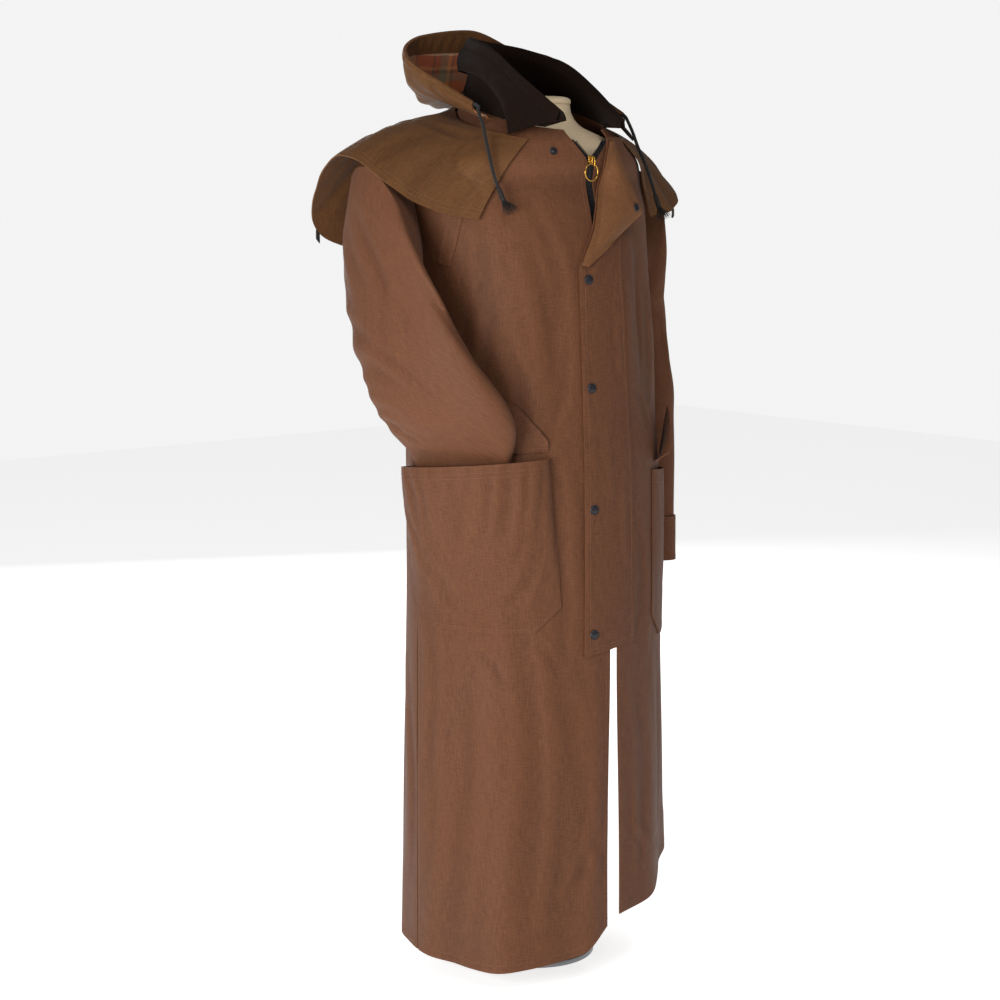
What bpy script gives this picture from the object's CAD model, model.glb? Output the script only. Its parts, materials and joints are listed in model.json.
# %% [markdown]
# # A waxed duster coat with cape and hood
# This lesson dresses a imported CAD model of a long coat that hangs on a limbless
# dress form. The CAD gives every seam, edge and size. Here the same surfaces are
# drawn much finer, get folds, stitches and real cloth finishes, and stand in for
# the plain solids.

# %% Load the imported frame
import json
import math

import bmesh
import bpy
import numpy as np
from mathutils import Matrix, Vector

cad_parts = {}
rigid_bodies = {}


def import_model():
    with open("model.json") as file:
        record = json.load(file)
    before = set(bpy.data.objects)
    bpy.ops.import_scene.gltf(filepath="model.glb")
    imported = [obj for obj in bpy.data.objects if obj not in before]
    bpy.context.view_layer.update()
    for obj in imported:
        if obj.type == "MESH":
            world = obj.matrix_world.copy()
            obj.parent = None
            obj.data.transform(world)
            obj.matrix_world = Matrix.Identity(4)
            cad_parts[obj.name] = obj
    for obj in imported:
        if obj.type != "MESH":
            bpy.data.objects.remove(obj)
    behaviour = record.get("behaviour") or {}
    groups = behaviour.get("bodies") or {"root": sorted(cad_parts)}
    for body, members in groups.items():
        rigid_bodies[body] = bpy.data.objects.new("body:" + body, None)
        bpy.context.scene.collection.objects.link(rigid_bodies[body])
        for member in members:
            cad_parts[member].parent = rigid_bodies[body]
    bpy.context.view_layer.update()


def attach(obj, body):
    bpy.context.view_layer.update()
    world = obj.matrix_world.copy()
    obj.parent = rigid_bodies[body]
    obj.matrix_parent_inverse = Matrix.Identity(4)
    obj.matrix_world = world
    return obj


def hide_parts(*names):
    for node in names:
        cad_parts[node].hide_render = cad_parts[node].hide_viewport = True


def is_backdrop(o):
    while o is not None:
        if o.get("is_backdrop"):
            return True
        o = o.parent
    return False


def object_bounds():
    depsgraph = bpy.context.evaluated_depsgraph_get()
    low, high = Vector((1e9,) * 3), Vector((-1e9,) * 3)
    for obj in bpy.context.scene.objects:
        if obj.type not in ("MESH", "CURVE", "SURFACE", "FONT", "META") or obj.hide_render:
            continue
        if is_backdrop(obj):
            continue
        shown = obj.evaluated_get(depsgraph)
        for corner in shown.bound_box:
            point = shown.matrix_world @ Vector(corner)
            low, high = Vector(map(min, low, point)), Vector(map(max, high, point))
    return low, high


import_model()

# %% [markdown]
# ## Camera, floor and light
# The photo was taken with a long lens from the wearer's right, at about chest
# height, and looks slightly down. A long lens keeps the coat's sides nearly
# parallel. The light there is wide and soft and comes from the camera's left. A
# sun or a spot would cut hard shadows, so area lights and a pale world are used:
# a key from the left, a weak fill, one from above and one from behind.

# %% The camera at the photo's angle
def add_object(name, data):
    """A new object in the scene, at the origin, with this data."""
    made = bpy.data.objects.new(name, data)
    bpy.context.scene.collection.objects.link(made)
    return made


CAMERA_TURN = math.radians(-40.0)
CAMERA_FAR = 3.4
CAMERA_ASIDE = -0.053
CAMERA_HIGH = 1.22
CAMERA_DOWN = math.radians(8.4)
right_way = Vector((math.cos(CAMERA_TURN), math.sin(CAMERA_TURN), 0.0))
ahead = Vector((-math.sin(CAMERA_TURN), math.cos(CAMERA_TURN), 0.0))
camera_data = bpy.data.cameras.new("photo_camera")
camera_data.lens = 80.3
camera_data.sensor_width = 36.0
camera = add_object("photo_camera", camera_data)
camera.location = right_way * CAMERA_ASIDE - ahead * CAMERA_FAR
camera.location.z = CAMERA_HIGH
camera.rotation_euler = (math.pi / 2 - CAMERA_DOWN, 0.0, CAMERA_TURN)
bpy.context.scene.camera = camera
print("camera at", tuple(round(x, 3) for x in camera.location))


# %% Soft studio lights
def soft_light(name, place, target, size, watts):
    data = bpy.data.lights.new(name, "AREA")
    data.shape = "SQUARE"
    data.size = size
    data.energy = watts
    light = add_object(name, data)
    light.location = place
    aim = Vector(target) - Vector(place)
    light.rotation_euler = aim.to_track_quat("-Z", "Y").to_euler()


CHEST = (0.0, 0.0, 0.9)
soft_light("key_left", (-3.3, -1.1, 1.10), CHEST, 1.8, 100)
soft_light("fill_right", (1.4, -2.9, 1.5), CHEST, 1.8, 4)
soft_light("front_high", (-0.9, -1.9, 3.1), (0.0, 0.0, 1.3), 1.4, 22)
soft_light("back", (1.5, 3.0, 1.7), CHEST, 1.8, 62)
world = bpy.data.worlds.new("studio")
world.use_nodes = True
backdrop = world.node_tree.nodes["Background"]
backdrop.inputs["Color"].default_value = (1.0, 1.0, 1.0, 1.0)
# The wall behind is bright, but the room gives the coat only a weak light
seen = world.node_tree.nodes.new("ShaderNodeLightPath").outputs["Is Camera Ray"]
level = world.node_tree.nodes.new("ShaderNodeMapRange")
level.inputs["To Min"].default_value = 0.14
level.inputs["To Max"].default_value = 0.90
world.node_tree.links.new(seen, level.inputs["Value"])
world.node_tree.links.new(level.outputs[0], backdrop.inputs["Strength"])
bpy.context.scene.world = world
bpy.context.scene.view_settings.view_transform = "Standard"
print("four soft lights and a pale world")

# %% [markdown]
# ## Colours and nodes
# Colours are picked as sRGB hex values, which is how a picture shows them, and one
# function turns them to the linear values that a shader needs. A material could be
# built by clicking nodes together. In a script, one small function adds a node with
# its settings and links, and each material is then a list of what the real surface
# has: weave, streaks, wear.


# %% Colours and nodes
def colour(code):
    """An sRGB hex value such as "8a5a2c" as linear RGBA."""
    channels = [int(code[i:i + 2], 16) / 255.0 for i in (0, 2, 4)]
    linear = [c / 12.92 if c <= 0.04045 else ((c + 0.055) / 1.055) ** 2.4 for c in channels]
    return (*linear, 1.0)


def fill(tree, node, **inputs):
    """Sets or links a node's inputs; i3 is input 3, and Base_Color is "Base Color"."""
    for name, value in inputs.items():
        key = int(name[1:]) if name[1:].isdigit() else name.replace("_", " ")
        if isinstance(value, bpy.types.NodeSocket):
            tree.links.new(value, node.inputs[key])
        else:
            node.inputs[key].default_value = value
    return node


def add_node(tree, kind, settings=None, **inputs):
    """Adds a node; an input is a value, or a socket to link from."""
    node = tree.nodes.new(kind)
    for name, value in (settings or {}).items():
        setattr(node, name, value)
    return fill(tree, node, **inputs)


def new_material(name):
    """A new material, its tree, shader and object coordinates."""
    made = bpy.data.materials.new(name)
    made.use_nodes = True
    tree = made.node_tree
    spot = add_node(tree, "ShaderNodeTexCoord").outputs["Object"]
    return made, tree, tree.nodes["Principled BSDF"], spot


print("a mid grey in linear light:", round(colour("808080")[0], 3))

# %% [markdown]
# ## Waxed cotton canvas
# The cloth is a dense cotton duck soaked in wax. The weave itself is finer than a
# millimetre, so it is drawn a little coarser to show. Thick and thin yarns leave
# faint upright streaks. Where the cloth rubs, on ridges and edges, the wax turns
# lighter, and in the hollows it stays dark. Each sheet carries a UV map in metres
# and a `wear` attribute, so the pattern follows the cloth into every fold.


# %% Waxed canvas
WEAVE_MM = 1.1           # drawn a little coarser than the real weave
TONES = {"data_type": "RGBA"}
CUT = {"uv_map": "cloth"}


def waxed_canvas(name, deep, mid, pale):
    made, tree, shader, spot = new_material(name)
    uv = add_node(tree, "ShaderNodeUVMap", CUT).outputs[0]
    wear = add_node(tree, "ShaderNodeAttribute", {"attribute_name": "wear"}).outputs["Fac"]
    # Broad patches where the wax lies thicker or thinner
    patches = add_node(tree, "ShaderNodeTexNoise", Vector=spot, Scale=5.0, Detail=4.0,
                       Roughness=0.6).outputs["Fac"]
    ground = add_node(tree, "ShaderNodeMix", TONES, i0=patches, i6=colour(deep),
                      i7=colour(mid)).outputs[2]
    gloss = add_node(tree, "ShaderNodeMapRange", Value=patches, From_Min=0.3, From_Max=0.7,
                     To_Min=0.58, To_Max=0.76).outputs[0]
    # Slubs: long thin yarns along the length of the cut, and shorter ones across
    slubs = []
    for across, along in ((480.0, 45.0), (90.0, 520.0)):
        laid = add_node(tree, "ShaderNodeMapping", Vector=uv, Scale=(across, along, 1.0)).outputs[0]
        thick = add_node(tree, "ShaderNodeTexNoise", Vector=laid, Scale=1.0, Detail=3.0)
        slubs.append(thick.outputs["Fac"])
    yarns = add_node(tree, "ShaderNodeMath", {"operation": "ADD"}, i0=slubs[0],
                     i1=slubs[1]).outputs[0]
    # Pale yarns, then wear on ridges and edges, and darker wax in the hollows
    for value, low, high, most, code in ((yarns, 0.72, 1.30, 0.46, pale),
                                         (wear, 0.05, 1.0, 0.22, pale),
                                         (wear, -0.05, -1.0, 0.34, deep)):
        amount = add_node(tree, "ShaderNodeMapRange", Value=value, From_Min=low, From_Max=high,
                          To_Min=0.0, To_Max=most).outputs[0]
        ground = add_node(tree, "ShaderNodeMix", TONES, i0=amount, i6=ground,
                          i7=colour(code)).outputs[2]
    # Weave: warp and weft ribs crossed, as relief only
    threads = 1000.0 / WEAVE_MM
    woven = add_node(tree, "ShaderNodeMapping", Vector=uv, Scale=(threads, threads, 1.0)).outputs[0]
    warp, weft = (add_node(tree, "ShaderNodeTexWave", {"bands_direction": way}, Vector=woven,
                           Scale=0.5, Distortion=1.2).outputs["Fac"] for way in "XY")
    ribs = add_node(tree, "ShaderNodeMath", {"operation": "MAXIMUM"}, i0=warp, i1=weft).outputs[0]
    crumple = add_node(tree, "ShaderNodeTexNoise", Vector=spot, Scale=38.0, Detail=5.0)
    bump = add_node(tree, "ShaderNodeBump", Strength=0.22, Distance=0.0004, Height=ribs).outputs[0]
    for strength, distance, height in ((0.35, 0.0006, yarns), (0.30, 0.004, crumple.outputs["Fac"])):
        bump = add_node(tree, "ShaderNodeBump", Strength=strength, Distance=distance,
                        Height=height, Normal=bump).outputs[0]
    fill(tree, shader, Base_Color=ground, Normal=bump, Roughness=gloss, Sheen_Weight=0.04,
         Sheen_Roughness=0.5, Specular_IOR_Level=0.30, IOR=1.46)
    return made


CANVAS = waxed_canvas("waxed_canvas_woven", "492613", "5b361e", "794c30")
TAN_CANVAS = waxed_canvas("waxed_canvas_sunned", "42240e", "5a3716", "785028")
INNER_CANVAS = waxed_canvas("waxed_canvas_inner_face", "56321a", "6b4222", "875a35")
print("canvas in three tones: body, sunned cape and hood, lapel's inner face")

# %% [markdown]
# ## Corduroy, flannel, cord and trim
# Corduroy has raised wales cut open to a soft pile: a band texture along the
# collar's UV gives the wales as relief, and fuzzy noise on a dull surface gives the
# pile. The lining is brushed flannel in a plain generic plaid: two sets of stripes,
# one along U and one along V, mixed half and half as yarns do in a twill. A picture
# of cloth would be quicker, but it would stretch and could not be changed.


# %% Corduroy
WALE_MM = 2.4


def corduroy(name):
    made, tree, shader, spot = new_material(name)
    uv = add_node(tree, "ShaderNodeUVMap", CUT).outputs[0]
    ridges = 1000.0 / WALE_MM
    laid = add_node(tree, "ShaderNodeMapping", Vector=uv, Scale=(ridges, ridges, 1.0)).outputs[0]
    wales = add_node(tree, "ShaderNodeTexWave", {"bands_direction": "X"}, Vector=laid,
                     Scale=0.314, Distortion=0.6, Detail=1.0).outputs["Fac"]
    fuzz = add_node(tree, "ShaderNodeTexNoise", Vector=spot, Scale=420.0, Detail=4.0).outputs["Fac"]
    tone = add_node(tree, "ShaderNodeMix", TONES, i0=wales, i6=colour("0c0604"),
                    i7=colour("2c1b12")).outputs[2]
    tone = add_node(tree, "ShaderNodeMix", TONES, i0=fuzz, i6=tone, i7=colour("160d08")).outputs[2]
    bump = add_node(tree, "ShaderNodeBump", Strength=0.8, Distance=0.0010, Height=wales).outputs[0]
    bump = add_node(tree, "ShaderNodeBump", Strength=0.5, Distance=0.0006, Height=fuzz,
                    Normal=bump).outputs[0]
    fill(tree, shader, Base_Color=tone, Normal=bump, Roughness=0.92, Sheen_Weight=0.03,
         Sheen_Roughness=0.35, Specular_IOR_Level=0.08)
    return made


print("corduroy: one wale every", WALE_MM, "mm")


# %% Generic plaid flannel
PLAID = 0.074            # one repeat of the stripes, in metres
STRIPES_U = ((0.00, "b4552b"), (0.30, "6b4530"), (0.38, "c8814a"), (0.46, "6f7359"),
             (0.66, "a34b28"), (0.80, "3f3a30"), (0.86, "b4552b"))
STRIPES_V = ((0.00, "c06a36"), (0.24, "7b7d66"), (0.42, "4a3a2e"), (0.50, "c98b58"),
             (0.58, "9a4524"), (0.82, "d2b08a"), (0.88, "c06a36"))


def plaid_flannel(name):
    made, tree, shader, spot = new_material(name)
    uv = add_node(tree, "ShaderNodeUVMap", CUT).outputs[0]
    parts = add_node(tree, "ShaderNodeSeparateXYZ", Vector=uv).outputs
    colours = []
    for axis, stripes in ((0, STRIPES_U), (1, STRIPES_V)):
        turns = add_node(tree, "ShaderNodeMath", {"operation": "DIVIDE"}, i0=parts[axis], i1=PLAID)
        share = add_node(tree, "ShaderNodeMath", {"operation": "FRACT"}, i0=turns.outputs[0])
        ramp = add_node(tree, "ShaderNodeValToRGB", Fac=share.outputs[0])
        band = ramp.color_ramp
        band.interpolation = "CONSTANT"
        for number, (at, code) in enumerate(stripes):
            stop = band.elements[number] if number < 2 else band.elements.new(at)
            stop.position = at
            stop.color = colour(code)
        colours.append(ramp.outputs[0])
    fuzz = add_node(tree, "ShaderNodeTexNoise", Vector=spot, Scale=260.0, Detail=4.0).outputs["Fac"]
    tone = add_node(tree, "ShaderNodeMix", TONES, i0=0.5, i6=colours[0], i7=colours[1]).outputs[2]
    tone = add_node(tree, "ShaderNodeMix", TONES, i0=0.22, i6=tone, i7=colour("a8683f")).outputs[2]
    nap = add_node(tree, "ShaderNodeBump", Strength=0.5, Distance=0.0008, Height=fuzz).outputs[0]
    fill(tree, shader, Base_Color=tone, Normal=nap, Roughness=0.93, Sheen_Weight=0.18)
    return made


print(f"plaid: {len(STRIPES_U)} by {len(STRIPES_V)} stripes in {PLAID * 1000:.0f} mm")


# %% Tape, braid, thread, jersey, metals
def fine_cloth(name, deep, pale, grain_mm, bump=0.0005):
    """A woven, braided or knitted trim: crossed bands too fine to count."""
    made, tree, shader, _ = new_material(name)
    uv = add_node(tree, "ShaderNodeUVMap", CUT).outputs[0]
    grains = 1000.0 / grain_mm
    laid = add_node(tree, "ShaderNodeMapping", Vector=uv, Scale=(grains, grains, 1.0)).outputs[0]
    first, second = (add_node(tree, "ShaderNodeTexWave", {"bands_direction": way}, Vector=laid,
                              Scale=0.35, Distortion=0.8).outputs["Fac"] for way in ("DIAGONAL", "X"))
    both = add_node(tree, "ShaderNodeMath", {"operation": "MULTIPLY"}, i0=first, i1=second).outputs[0]
    tone = add_node(tree, "ShaderNodeMix", TONES, i0=both, i6=colour(deep), i7=colour(pale))
    relief = add_node(tree, "ShaderNodeBump", Strength=0.6, Distance=bump, Height=both)
    fill(tree, shader, Base_Color=tone.outputs[2], Normal=relief.outputs[0], Roughness=0.85,
         Sheen_Weight=0.1)
    return made


def fine_grain(name, code, dark, rough, metallic=0.0, grain=180.0):
    """Metal, plastic or spun yarn: fine uneven grain in tone, gloss and relief."""
    made, tree, shader, spot = new_material(name)
    fine = add_node(tree, "ShaderNodeTexNoise", Vector=spot, Scale=grain, Detail=6.0).outputs["Fac"]
    tone = add_node(tree, "ShaderNodeMix", TONES, i0=fine, i6=colour(dark), i7=colour(code))
    gloss = add_node(tree, "ShaderNodeMapRange", Value=fine, From_Min=0.3, From_Max=0.7,
                     To_Min=rough * 0.7, To_Max=rough * 1.4)
    relief = add_node(tree, "ShaderNodeBump", Strength=0.15, Distance=0.0002, Height=fine)
    fill(tree, shader, Base_Color=tone.outputs[2], Roughness=gloss.outputs[0],
         Normal=relief.outputs[0], Metallic=metallic)
    return made


CORDUROY = corduroy("cotton_corduroy_cut_pile")
FLANNEL = plaid_flannel("brushed_flannel_plaid")
TAPE = fine_cloth("woven_zip_tape", "0b0a09", "2b2724", 0.9)
BRAID = fine_cloth("braided_cord", "070605", "211c18", 2.2, bump=0.0012)
THREAD = fine_grain("cotton_sewing_thread", "86563a", "623c26", 0.62, grain=900.0)
TAN_THREAD = fine_grain("cotton_sewing_thread_sunned", "80552a", "5e3c1b", 0.62, grain=900.0)
DARK_THREAD = fine_grain("cotton_sewing_thread_dark", "3a2a22", "1d130e", 0.7, grain=900.0)
FRAY = fine_grain("frayed_cord_yarn", "2a241f", "0c0a09", 0.9, grain=700.0)
TEETH = fine_grain("moulded_acetal_teeth", "242427", "0e0e10", 0.38, grain=400.0)
JERSEY = fine_cloth("cotton_jersey_knit", "ecd0a6", "fdeed2", 1.6)
BRASS = fine_grain("polished_brass", "e0b457", "a9782b", 0.24, 1.0)
ENAMEL = fine_grain("dark_enamelled_steel", "2c2c33", "141417", 0.34, 0.35)
STEEL = fine_grain("brushed_steel_tube", "9a9a9c", "6f6f72", 0.36, 1.0)
print("finishes ready:", len(bpy.data.materials))

# %% [markdown]
# ## Ring coordinates
# A coat on a form is a stack of rings. A point on it is named by a ring angle, 0
# at the front centre and positive towards the wearer's left, and by its height.
# Short tables hold the rings' half widths and depths, and a smooth reader fills in
# between their rows. The CAD used the same tables, so nothing has to be fitted.


# %% Tables with named columns and a smooth reader
def table(columns, rows):
    return {name: np.array([row[i] for row in rows], float) for i, name in enumerate(columns)}


def read(tab, column, at):
    keys, values = tab["at"], tab[column]
    at = np.clip(at, keys[0], keys[-1])
    i = np.clip(np.searchsorted(keys, at, side="right") - 1, 0, len(keys) - 2)
    step = np.diff(keys)
    rise = np.diff(values) / step
    before, after = rise[:-1], rise[1:]
    total = np.where(before * after > 0, before + after, 1.0)
    slopes = np.concatenate((
        rise[:1], np.where(before * after > 0, 2 * before * after / total, 0.0), rise[-1:],
    ))
    f = (at - keys[i]) / step[i]
    h = f * f * (3 - 2 * f)
    bend = f * (1 - f) * (slopes[i] * (1 - f) - slopes[i + 1] * f) * step[i]
    return values[i] * (1 - h) + values[i + 1] * h + bend


def ramp(value, low, high):
    f = np.clip((value - low) / (high - low), 0.0, 1.0)
    return f * f * (3 - 2 * f)


def mix(a, b, f):
    return a + (b - a) * f


def turn_between(angle, middle):
    return (angle - middle + 180.0) % 360.0 - 180.0


BODY = table(("at", "half_width", "front", "back", "centre_y"), (
    (0.02, 0.207, 0.187, 0.187, 0.000), (0.30, 0.206, 0.184, 0.183, 0.000),
    (0.55, 0.205, 0.182, 0.180, 0.000), (0.75, 0.203, 0.182, 0.176, 0.004),
    (0.88, 0.198, 0.181, 0.168, 0.012), (1.00, 0.195, 0.180, 0.154, 0.022),
    (1.10, 0.203, 0.177, 0.142, 0.032), (1.16, 0.209, 0.170, 0.134, 0.038),
    (1.20, 0.206, 0.164, 0.128, 0.042), (1.235, 0.190, 0.160, 0.118, 0.034),
    (1.262, 0.158, 0.154, 0.106, 0.034), (1.285, 0.124, 0.146, 0.094, 0.043),
    (1.305, 0.100, 0.138, 0.084, 0.042), (1.325, 0.090, 0.130, 0.078, 0.040),
    (1.36, 0.086, 0.124, 0.074, 0.038),
))
LOW_HEM = 0.030
TOP_RING = 1.36          # the last row of the table above
FOLD_RADIUS = 0.19       # the ring's radius that a fold's depth is a share of
# Skirt folds: ring angle, width in degrees, depth at the hem, height where each starts
SKIRT_FOLDS = (
    (-52, 9, 0.010, 0.80), (-26, 8, -0.006, 0.75), (-78, 10, -0.008, 0.75),
    (-12, 6, 0.004, 0.70), (26, 9, 0.008, 0.75), (52, 10, -0.009, 0.72),
    (76, 24, 0.028, 0.82), (130, 11, 0.010, 0.85), (158, 9, -0.010, 0.85),
    (182, 10, 0.009, 0.90), (206, 9, -0.011, 0.85), (232, 11, 0.009, 0.85),
)
# Chest folds: ring angle, width, depth, lowest and highest end
CHEST_FOLDS = (
    (-41, 8, 0.005, 0.84, 1.20), (-26, 6, -0.004, 0.86, 1.10), (14, 6, 0.004, 0.86, 1.16),
    (29, 7, -0.009, 0.82, 1.18), (48, 8, 0.005, 0.82, 1.14), (146, 9, 0.006, 0.80, 1.12),
    (216, 9, 0.006, 0.78, 1.12),
)
print("rings:", len(BODY["at"]), "folds:", len(SKIRT_FOLDS) + len(CHEST_FOLDS))

# %% [markdown]
# ## Creases placed by hand
# Long folds come from how the coat hangs. The small ones come from wear: drag
# lines at the pockets, puckers by the sewn flap, soft breaks down the skirt. Each
# is one row here: where it starts and ends, how wide and how deep it is. A trough
# is a soft valley with a low ridge on each side. A negative depth is a trough. The
# rows differ in length, depth and spacing, because even creases look machine made.

# %% The body's creases
# Each row: start angle and height, end angle and height, then width and depth in mm
MM = 0.001
RING = 0.192             # mean radius that turns ring degrees to metres
BODY_CREASES = (
    # wearer's right front, seen first
    (-47, 0.60, -43, 0.14, 15, -2.2), (-60, 0.53, -66, 0.22, 18, 1.8), (-33, 0.48, -36, 0.10, 12, 1.6),
    (-22, 0.44, -20, 0.12, 13, -2.0), (-71, 0.46, -76, 0.10, 15, -1.9), (-12, 0.50, -14, 0.18, 9, 1.3),
    (-9, 0.26, -19, 0.16, 9, -2.6), (-14, 0.22, -9, 0.17, 7, 1.6), (-84, 0.40, -88, 0.12, 14, 2.0),
    (-30, 0.74, -27, 0.50, 10, -1.5), (-24, 0.80, -21, 0.62, 9, 1.3), (-38, 1.10, -34, 0.86, 12, 1.8),
    (-30, 1.18, -22, 1.00, 9, -1.3), (-52, 1.14, -60, 1.02, 10, -1.6), (-58, 1.06, -66, 0.92, 12, 2.0),
    (-20, 0.98, -28, 0.86, 8, -1.2), (-47, 0.98, -40, 0.84, 11, -1.8), (-62, 0.52, -50, 0.47, 8, -1.5),
    (-36, 0.53, -28, 0.49, 7, -1.2), (-92, 0.60, -94, 0.30, 12, -1.4), (-19, 1.14, -17, 1.02, 7, 1.0),
    # wearer's left front
    (20, 1.12, 24, 0.92, 10, 2.0), (38, 1.06, 33, 0.88, 11, -2.2), (56, 1.10, 50, 0.94, 12, 2.0),
    (16, 0.70, 14, 0.52, 9, -1.6), (24, 0.66, 21, 0.48, 9, 1.5), (14, 0.46, 17, 0.18, 12, -1.8),
    (34, 0.50, 38, 0.20, 15, -2.4), (44, 0.44, 46, 0.16, 12, 1.9), (62, 0.48, 66, 0.22, 17, -2.2),
    (12, 0.24, 22, 0.19, 8, 1.8), (30, 0.20, 42, 0.17, 9, -2.6), (70, 0.42, 84, 0.18, 14, 1.7),
    (20, 0.90, 28, 0.84, 8, -1.4), (88, 0.52, 90, 0.30, 12, -1.6), (10, 0.34, 13, 0.16, 8, 1.2),
    # back, uneven in the same way
    (118, 0.98, 124, 0.70, 14, -2.2), (136, 1.02, 132, 0.74, 13, 2.0), (152, 0.92, 156, 0.56, 15, -2.4),
    (170, 1.00, 167, 0.66, 13, 1.8), (186, 0.94, 190, 0.60, 14, -2.2), (203, 1.02, 199, 0.72, 12, 1.9),
    (222, 0.96, 226, 0.66, 15, -2.3), (240, 0.98, 236, 0.78, 12, 1.7), (122, 0.50, 118, 0.16, 16, 2.2),
    (144, 0.54, 147, 0.12, 15, -2.3), (164, 0.46, 161, 0.10, 13, 2.0), (176, 0.60, 180, 0.20, 14, -2.1),
    (194, 0.44, 190, 0.12, 13, 1.8), (214, 0.52, 219, 0.14, 16, -2.4), (238, 0.48, 242, 0.16, 14, 2.0),
    (248, 0.40, 252, 0.14, 12, -1.6), (132, 0.66, 142, 0.61, 9, -1.5), (224, 0.70, 213, 0.66, 9, -1.4),
)


print("hand-placed creases on the body:", len(BODY_CREASES))


# %% Their shape in section
def stroke_depth(x, y, strokes):
    """Height of all strokes at points x, y in metres; each stroke is in metres too."""
    total = np.zeros_like(x)
    for x0, y0, x1, y1, width, depth in strokes:
        dx, dy = x1 - x0, y1 - y0
        long = math.hypot(dx, dy)
        dx, dy = dx / long, dy / long
        along = ((x - x0) * dx + (y - y0) * dy) / long
        inside = np.clip(along, 0.0, 1.0)
        # a slight bow keeps the line from looking ruled
        bow = 0.05 * long * np.sin(math.pi * inside) * (1.0 if width > depth * 4 else -1.0)
        aside = (x - x0) * -dy + (y - y0) * dx - bow
        beyond = (along - inside) * long
        s = np.hypot(aside, beyond * 1.5) / width
        profile = np.exp(-s * s) - 0.42 * np.exp(-((s - 1.75) / 0.7) ** 2)
        fade = 0.25 + 0.75 * np.sin(math.pi * np.clip(inside, 0.02, 0.98)) ** 0.7
        total += depth * profile * fade * np.exp(-(beyond / (1.5 * width)) ** 2)
    return total


print("crease shape ready: a ridge with a low trough on each side")


# %% The body's surface, folds and creases included
def body_crease(angle, height):
    total = np.zeros_like(height)
    metre = math.radians(1.0) * RING
    for a0, z0, a1, z1, width, depth in BODY_CREASES:
        middle = (a0 + a1) / 2
        x = turn_between(angle, middle) * metre
        row = ((a0 - middle) * metre, z0, (a1 - middle) * metre, z1, width * MM, depth * MM)
        total += stroke_depth(x, height, (row,))
    return total


def fold_depth(angle, height):
    total = np.zeros_like(height)
    for at, width, depth, top in SKIRT_FOLDS:
        grown = np.clip((top - height) / (top - LOW_HEM), 0.0, 1.0)
        total += depth * grown ** 1.3 * np.exp(-(turn_between(angle, at) / width) ** 2)
    for at, width, depth, low, high in CHEST_FOLDS:
        along = np.clip((height - low) / (high - low), 0.0, 1.0)
        bump = np.sin(math.pi * along) ** 2
        total += depth * bump * np.exp(-(turn_between(angle, at) / width) ** 2)
    return total


def body_base(angle, height, creased=True):
    angle, height = np.broadcast_arrays(np.asarray(angle, float), np.asarray(height, float))
    turn = np.radians(angle)
    deep = np.where(np.cos(turn) > 0, read(BODY, "front", height), read(BODY, "back", height))
    lift = fold_depth(angle, height)
    if creased:
        lift = lift + body_crease(angle, height)
    grow = 1.0 + lift / FOLD_RADIUS
    x = read(BODY, "half_width", height) * np.sin(turn) * grow
    y = read(BODY, "centre_y", height) - deep * np.cos(turn) * grow
    return np.stack([x, y, height], -1)


def unit(vectors):
    return vectors / np.maximum(np.linalg.norm(vectors, axis=-1, keepdims=True), 1e-12)


def body_normal(angle, height, creased=True):
    low = np.minimum(height, TOP_RING - 0.008)
    along = body_base(angle + 0.8, low, creased) - body_base(angle - 0.8, low, creased)
    up = body_base(angle, low + 0.003, creased) - body_base(angle, low - 0.003, creased)
    return unit(np.cross(along, up))


def body_point(angle, height, out=0.0, creased=True):
    angle, height, out = np.broadcast_arrays(*(np.asarray(x, float) for x in (angle, height, out)))
    return body_base(angle, height, creased) + body_normal(angle, height, creased) * out[..., None]


print("front at the chest:", np.round(body_point(0.0, 1.1), 3))

# %% [markdown]
# ## From a grid of points to a sheet of cloth
# Every cloth piece is a grid of points. One function turns a grid into a closed
# thin wall: the outer face, the inner face behind it and the rim between them. It
# also writes the UV map in metres along the threads and the `wear` attribute,
# which is high on ridges and edges and low in hollows.

# %% Cloth walls
CLOTH = 0.0020
LINING = 0.0015
SEAM = 0.0003
LAP = 0.0007
PIECES = {}


def grid_normals(grid, around=False):
    if around:
        along = np.roll(grid, -1, 1) - np.roll(grid, 1, 1)
    else:
        along = np.gradient(grid, axis=1)
    up = np.gradient(grid, axis=0)
    return unit(np.cross(along, up))


def spacing(grid, around=False):
    """Running length along the rows and up the columns, the cloth's own U and V."""
    closed = np.concatenate((grid, grid[:, :1]), 1) if around else grid
    steps = np.linalg.norm(np.diff(closed, axis=1), axis=-1)
    u = np.concatenate((np.zeros((len(grid), 1)), np.cumsum(steps, 1)), 1)
    rises = np.linalg.norm(np.diff(closed, axis=0), axis=-1)
    v = np.concatenate((np.zeros((1, closed.shape[1])), np.cumsum(rises, 0)), 0)
    return u - u[:, -1:] / 2, v - v[-1:] / 2


def blurred(values, times, around):
    for _ in range(times):
        edged = np.concatenate((values[:1], values, values[-1:]), 0)
        values = (edged[:-2] + 2 * edged[1:-1] + edged[2:]) / 4
        if around:
            values = (np.roll(values, 1, 1) + 2 * values + np.roll(values, -1, 1)) / 4
        else:
            edged = np.concatenate((values[:, :1], values, values[:, -1:]), 1)
            values = (edged[:, :-2] + 2 * edged[:, 1:-1] + edged[:, 2:]) / 4
    return values


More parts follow.
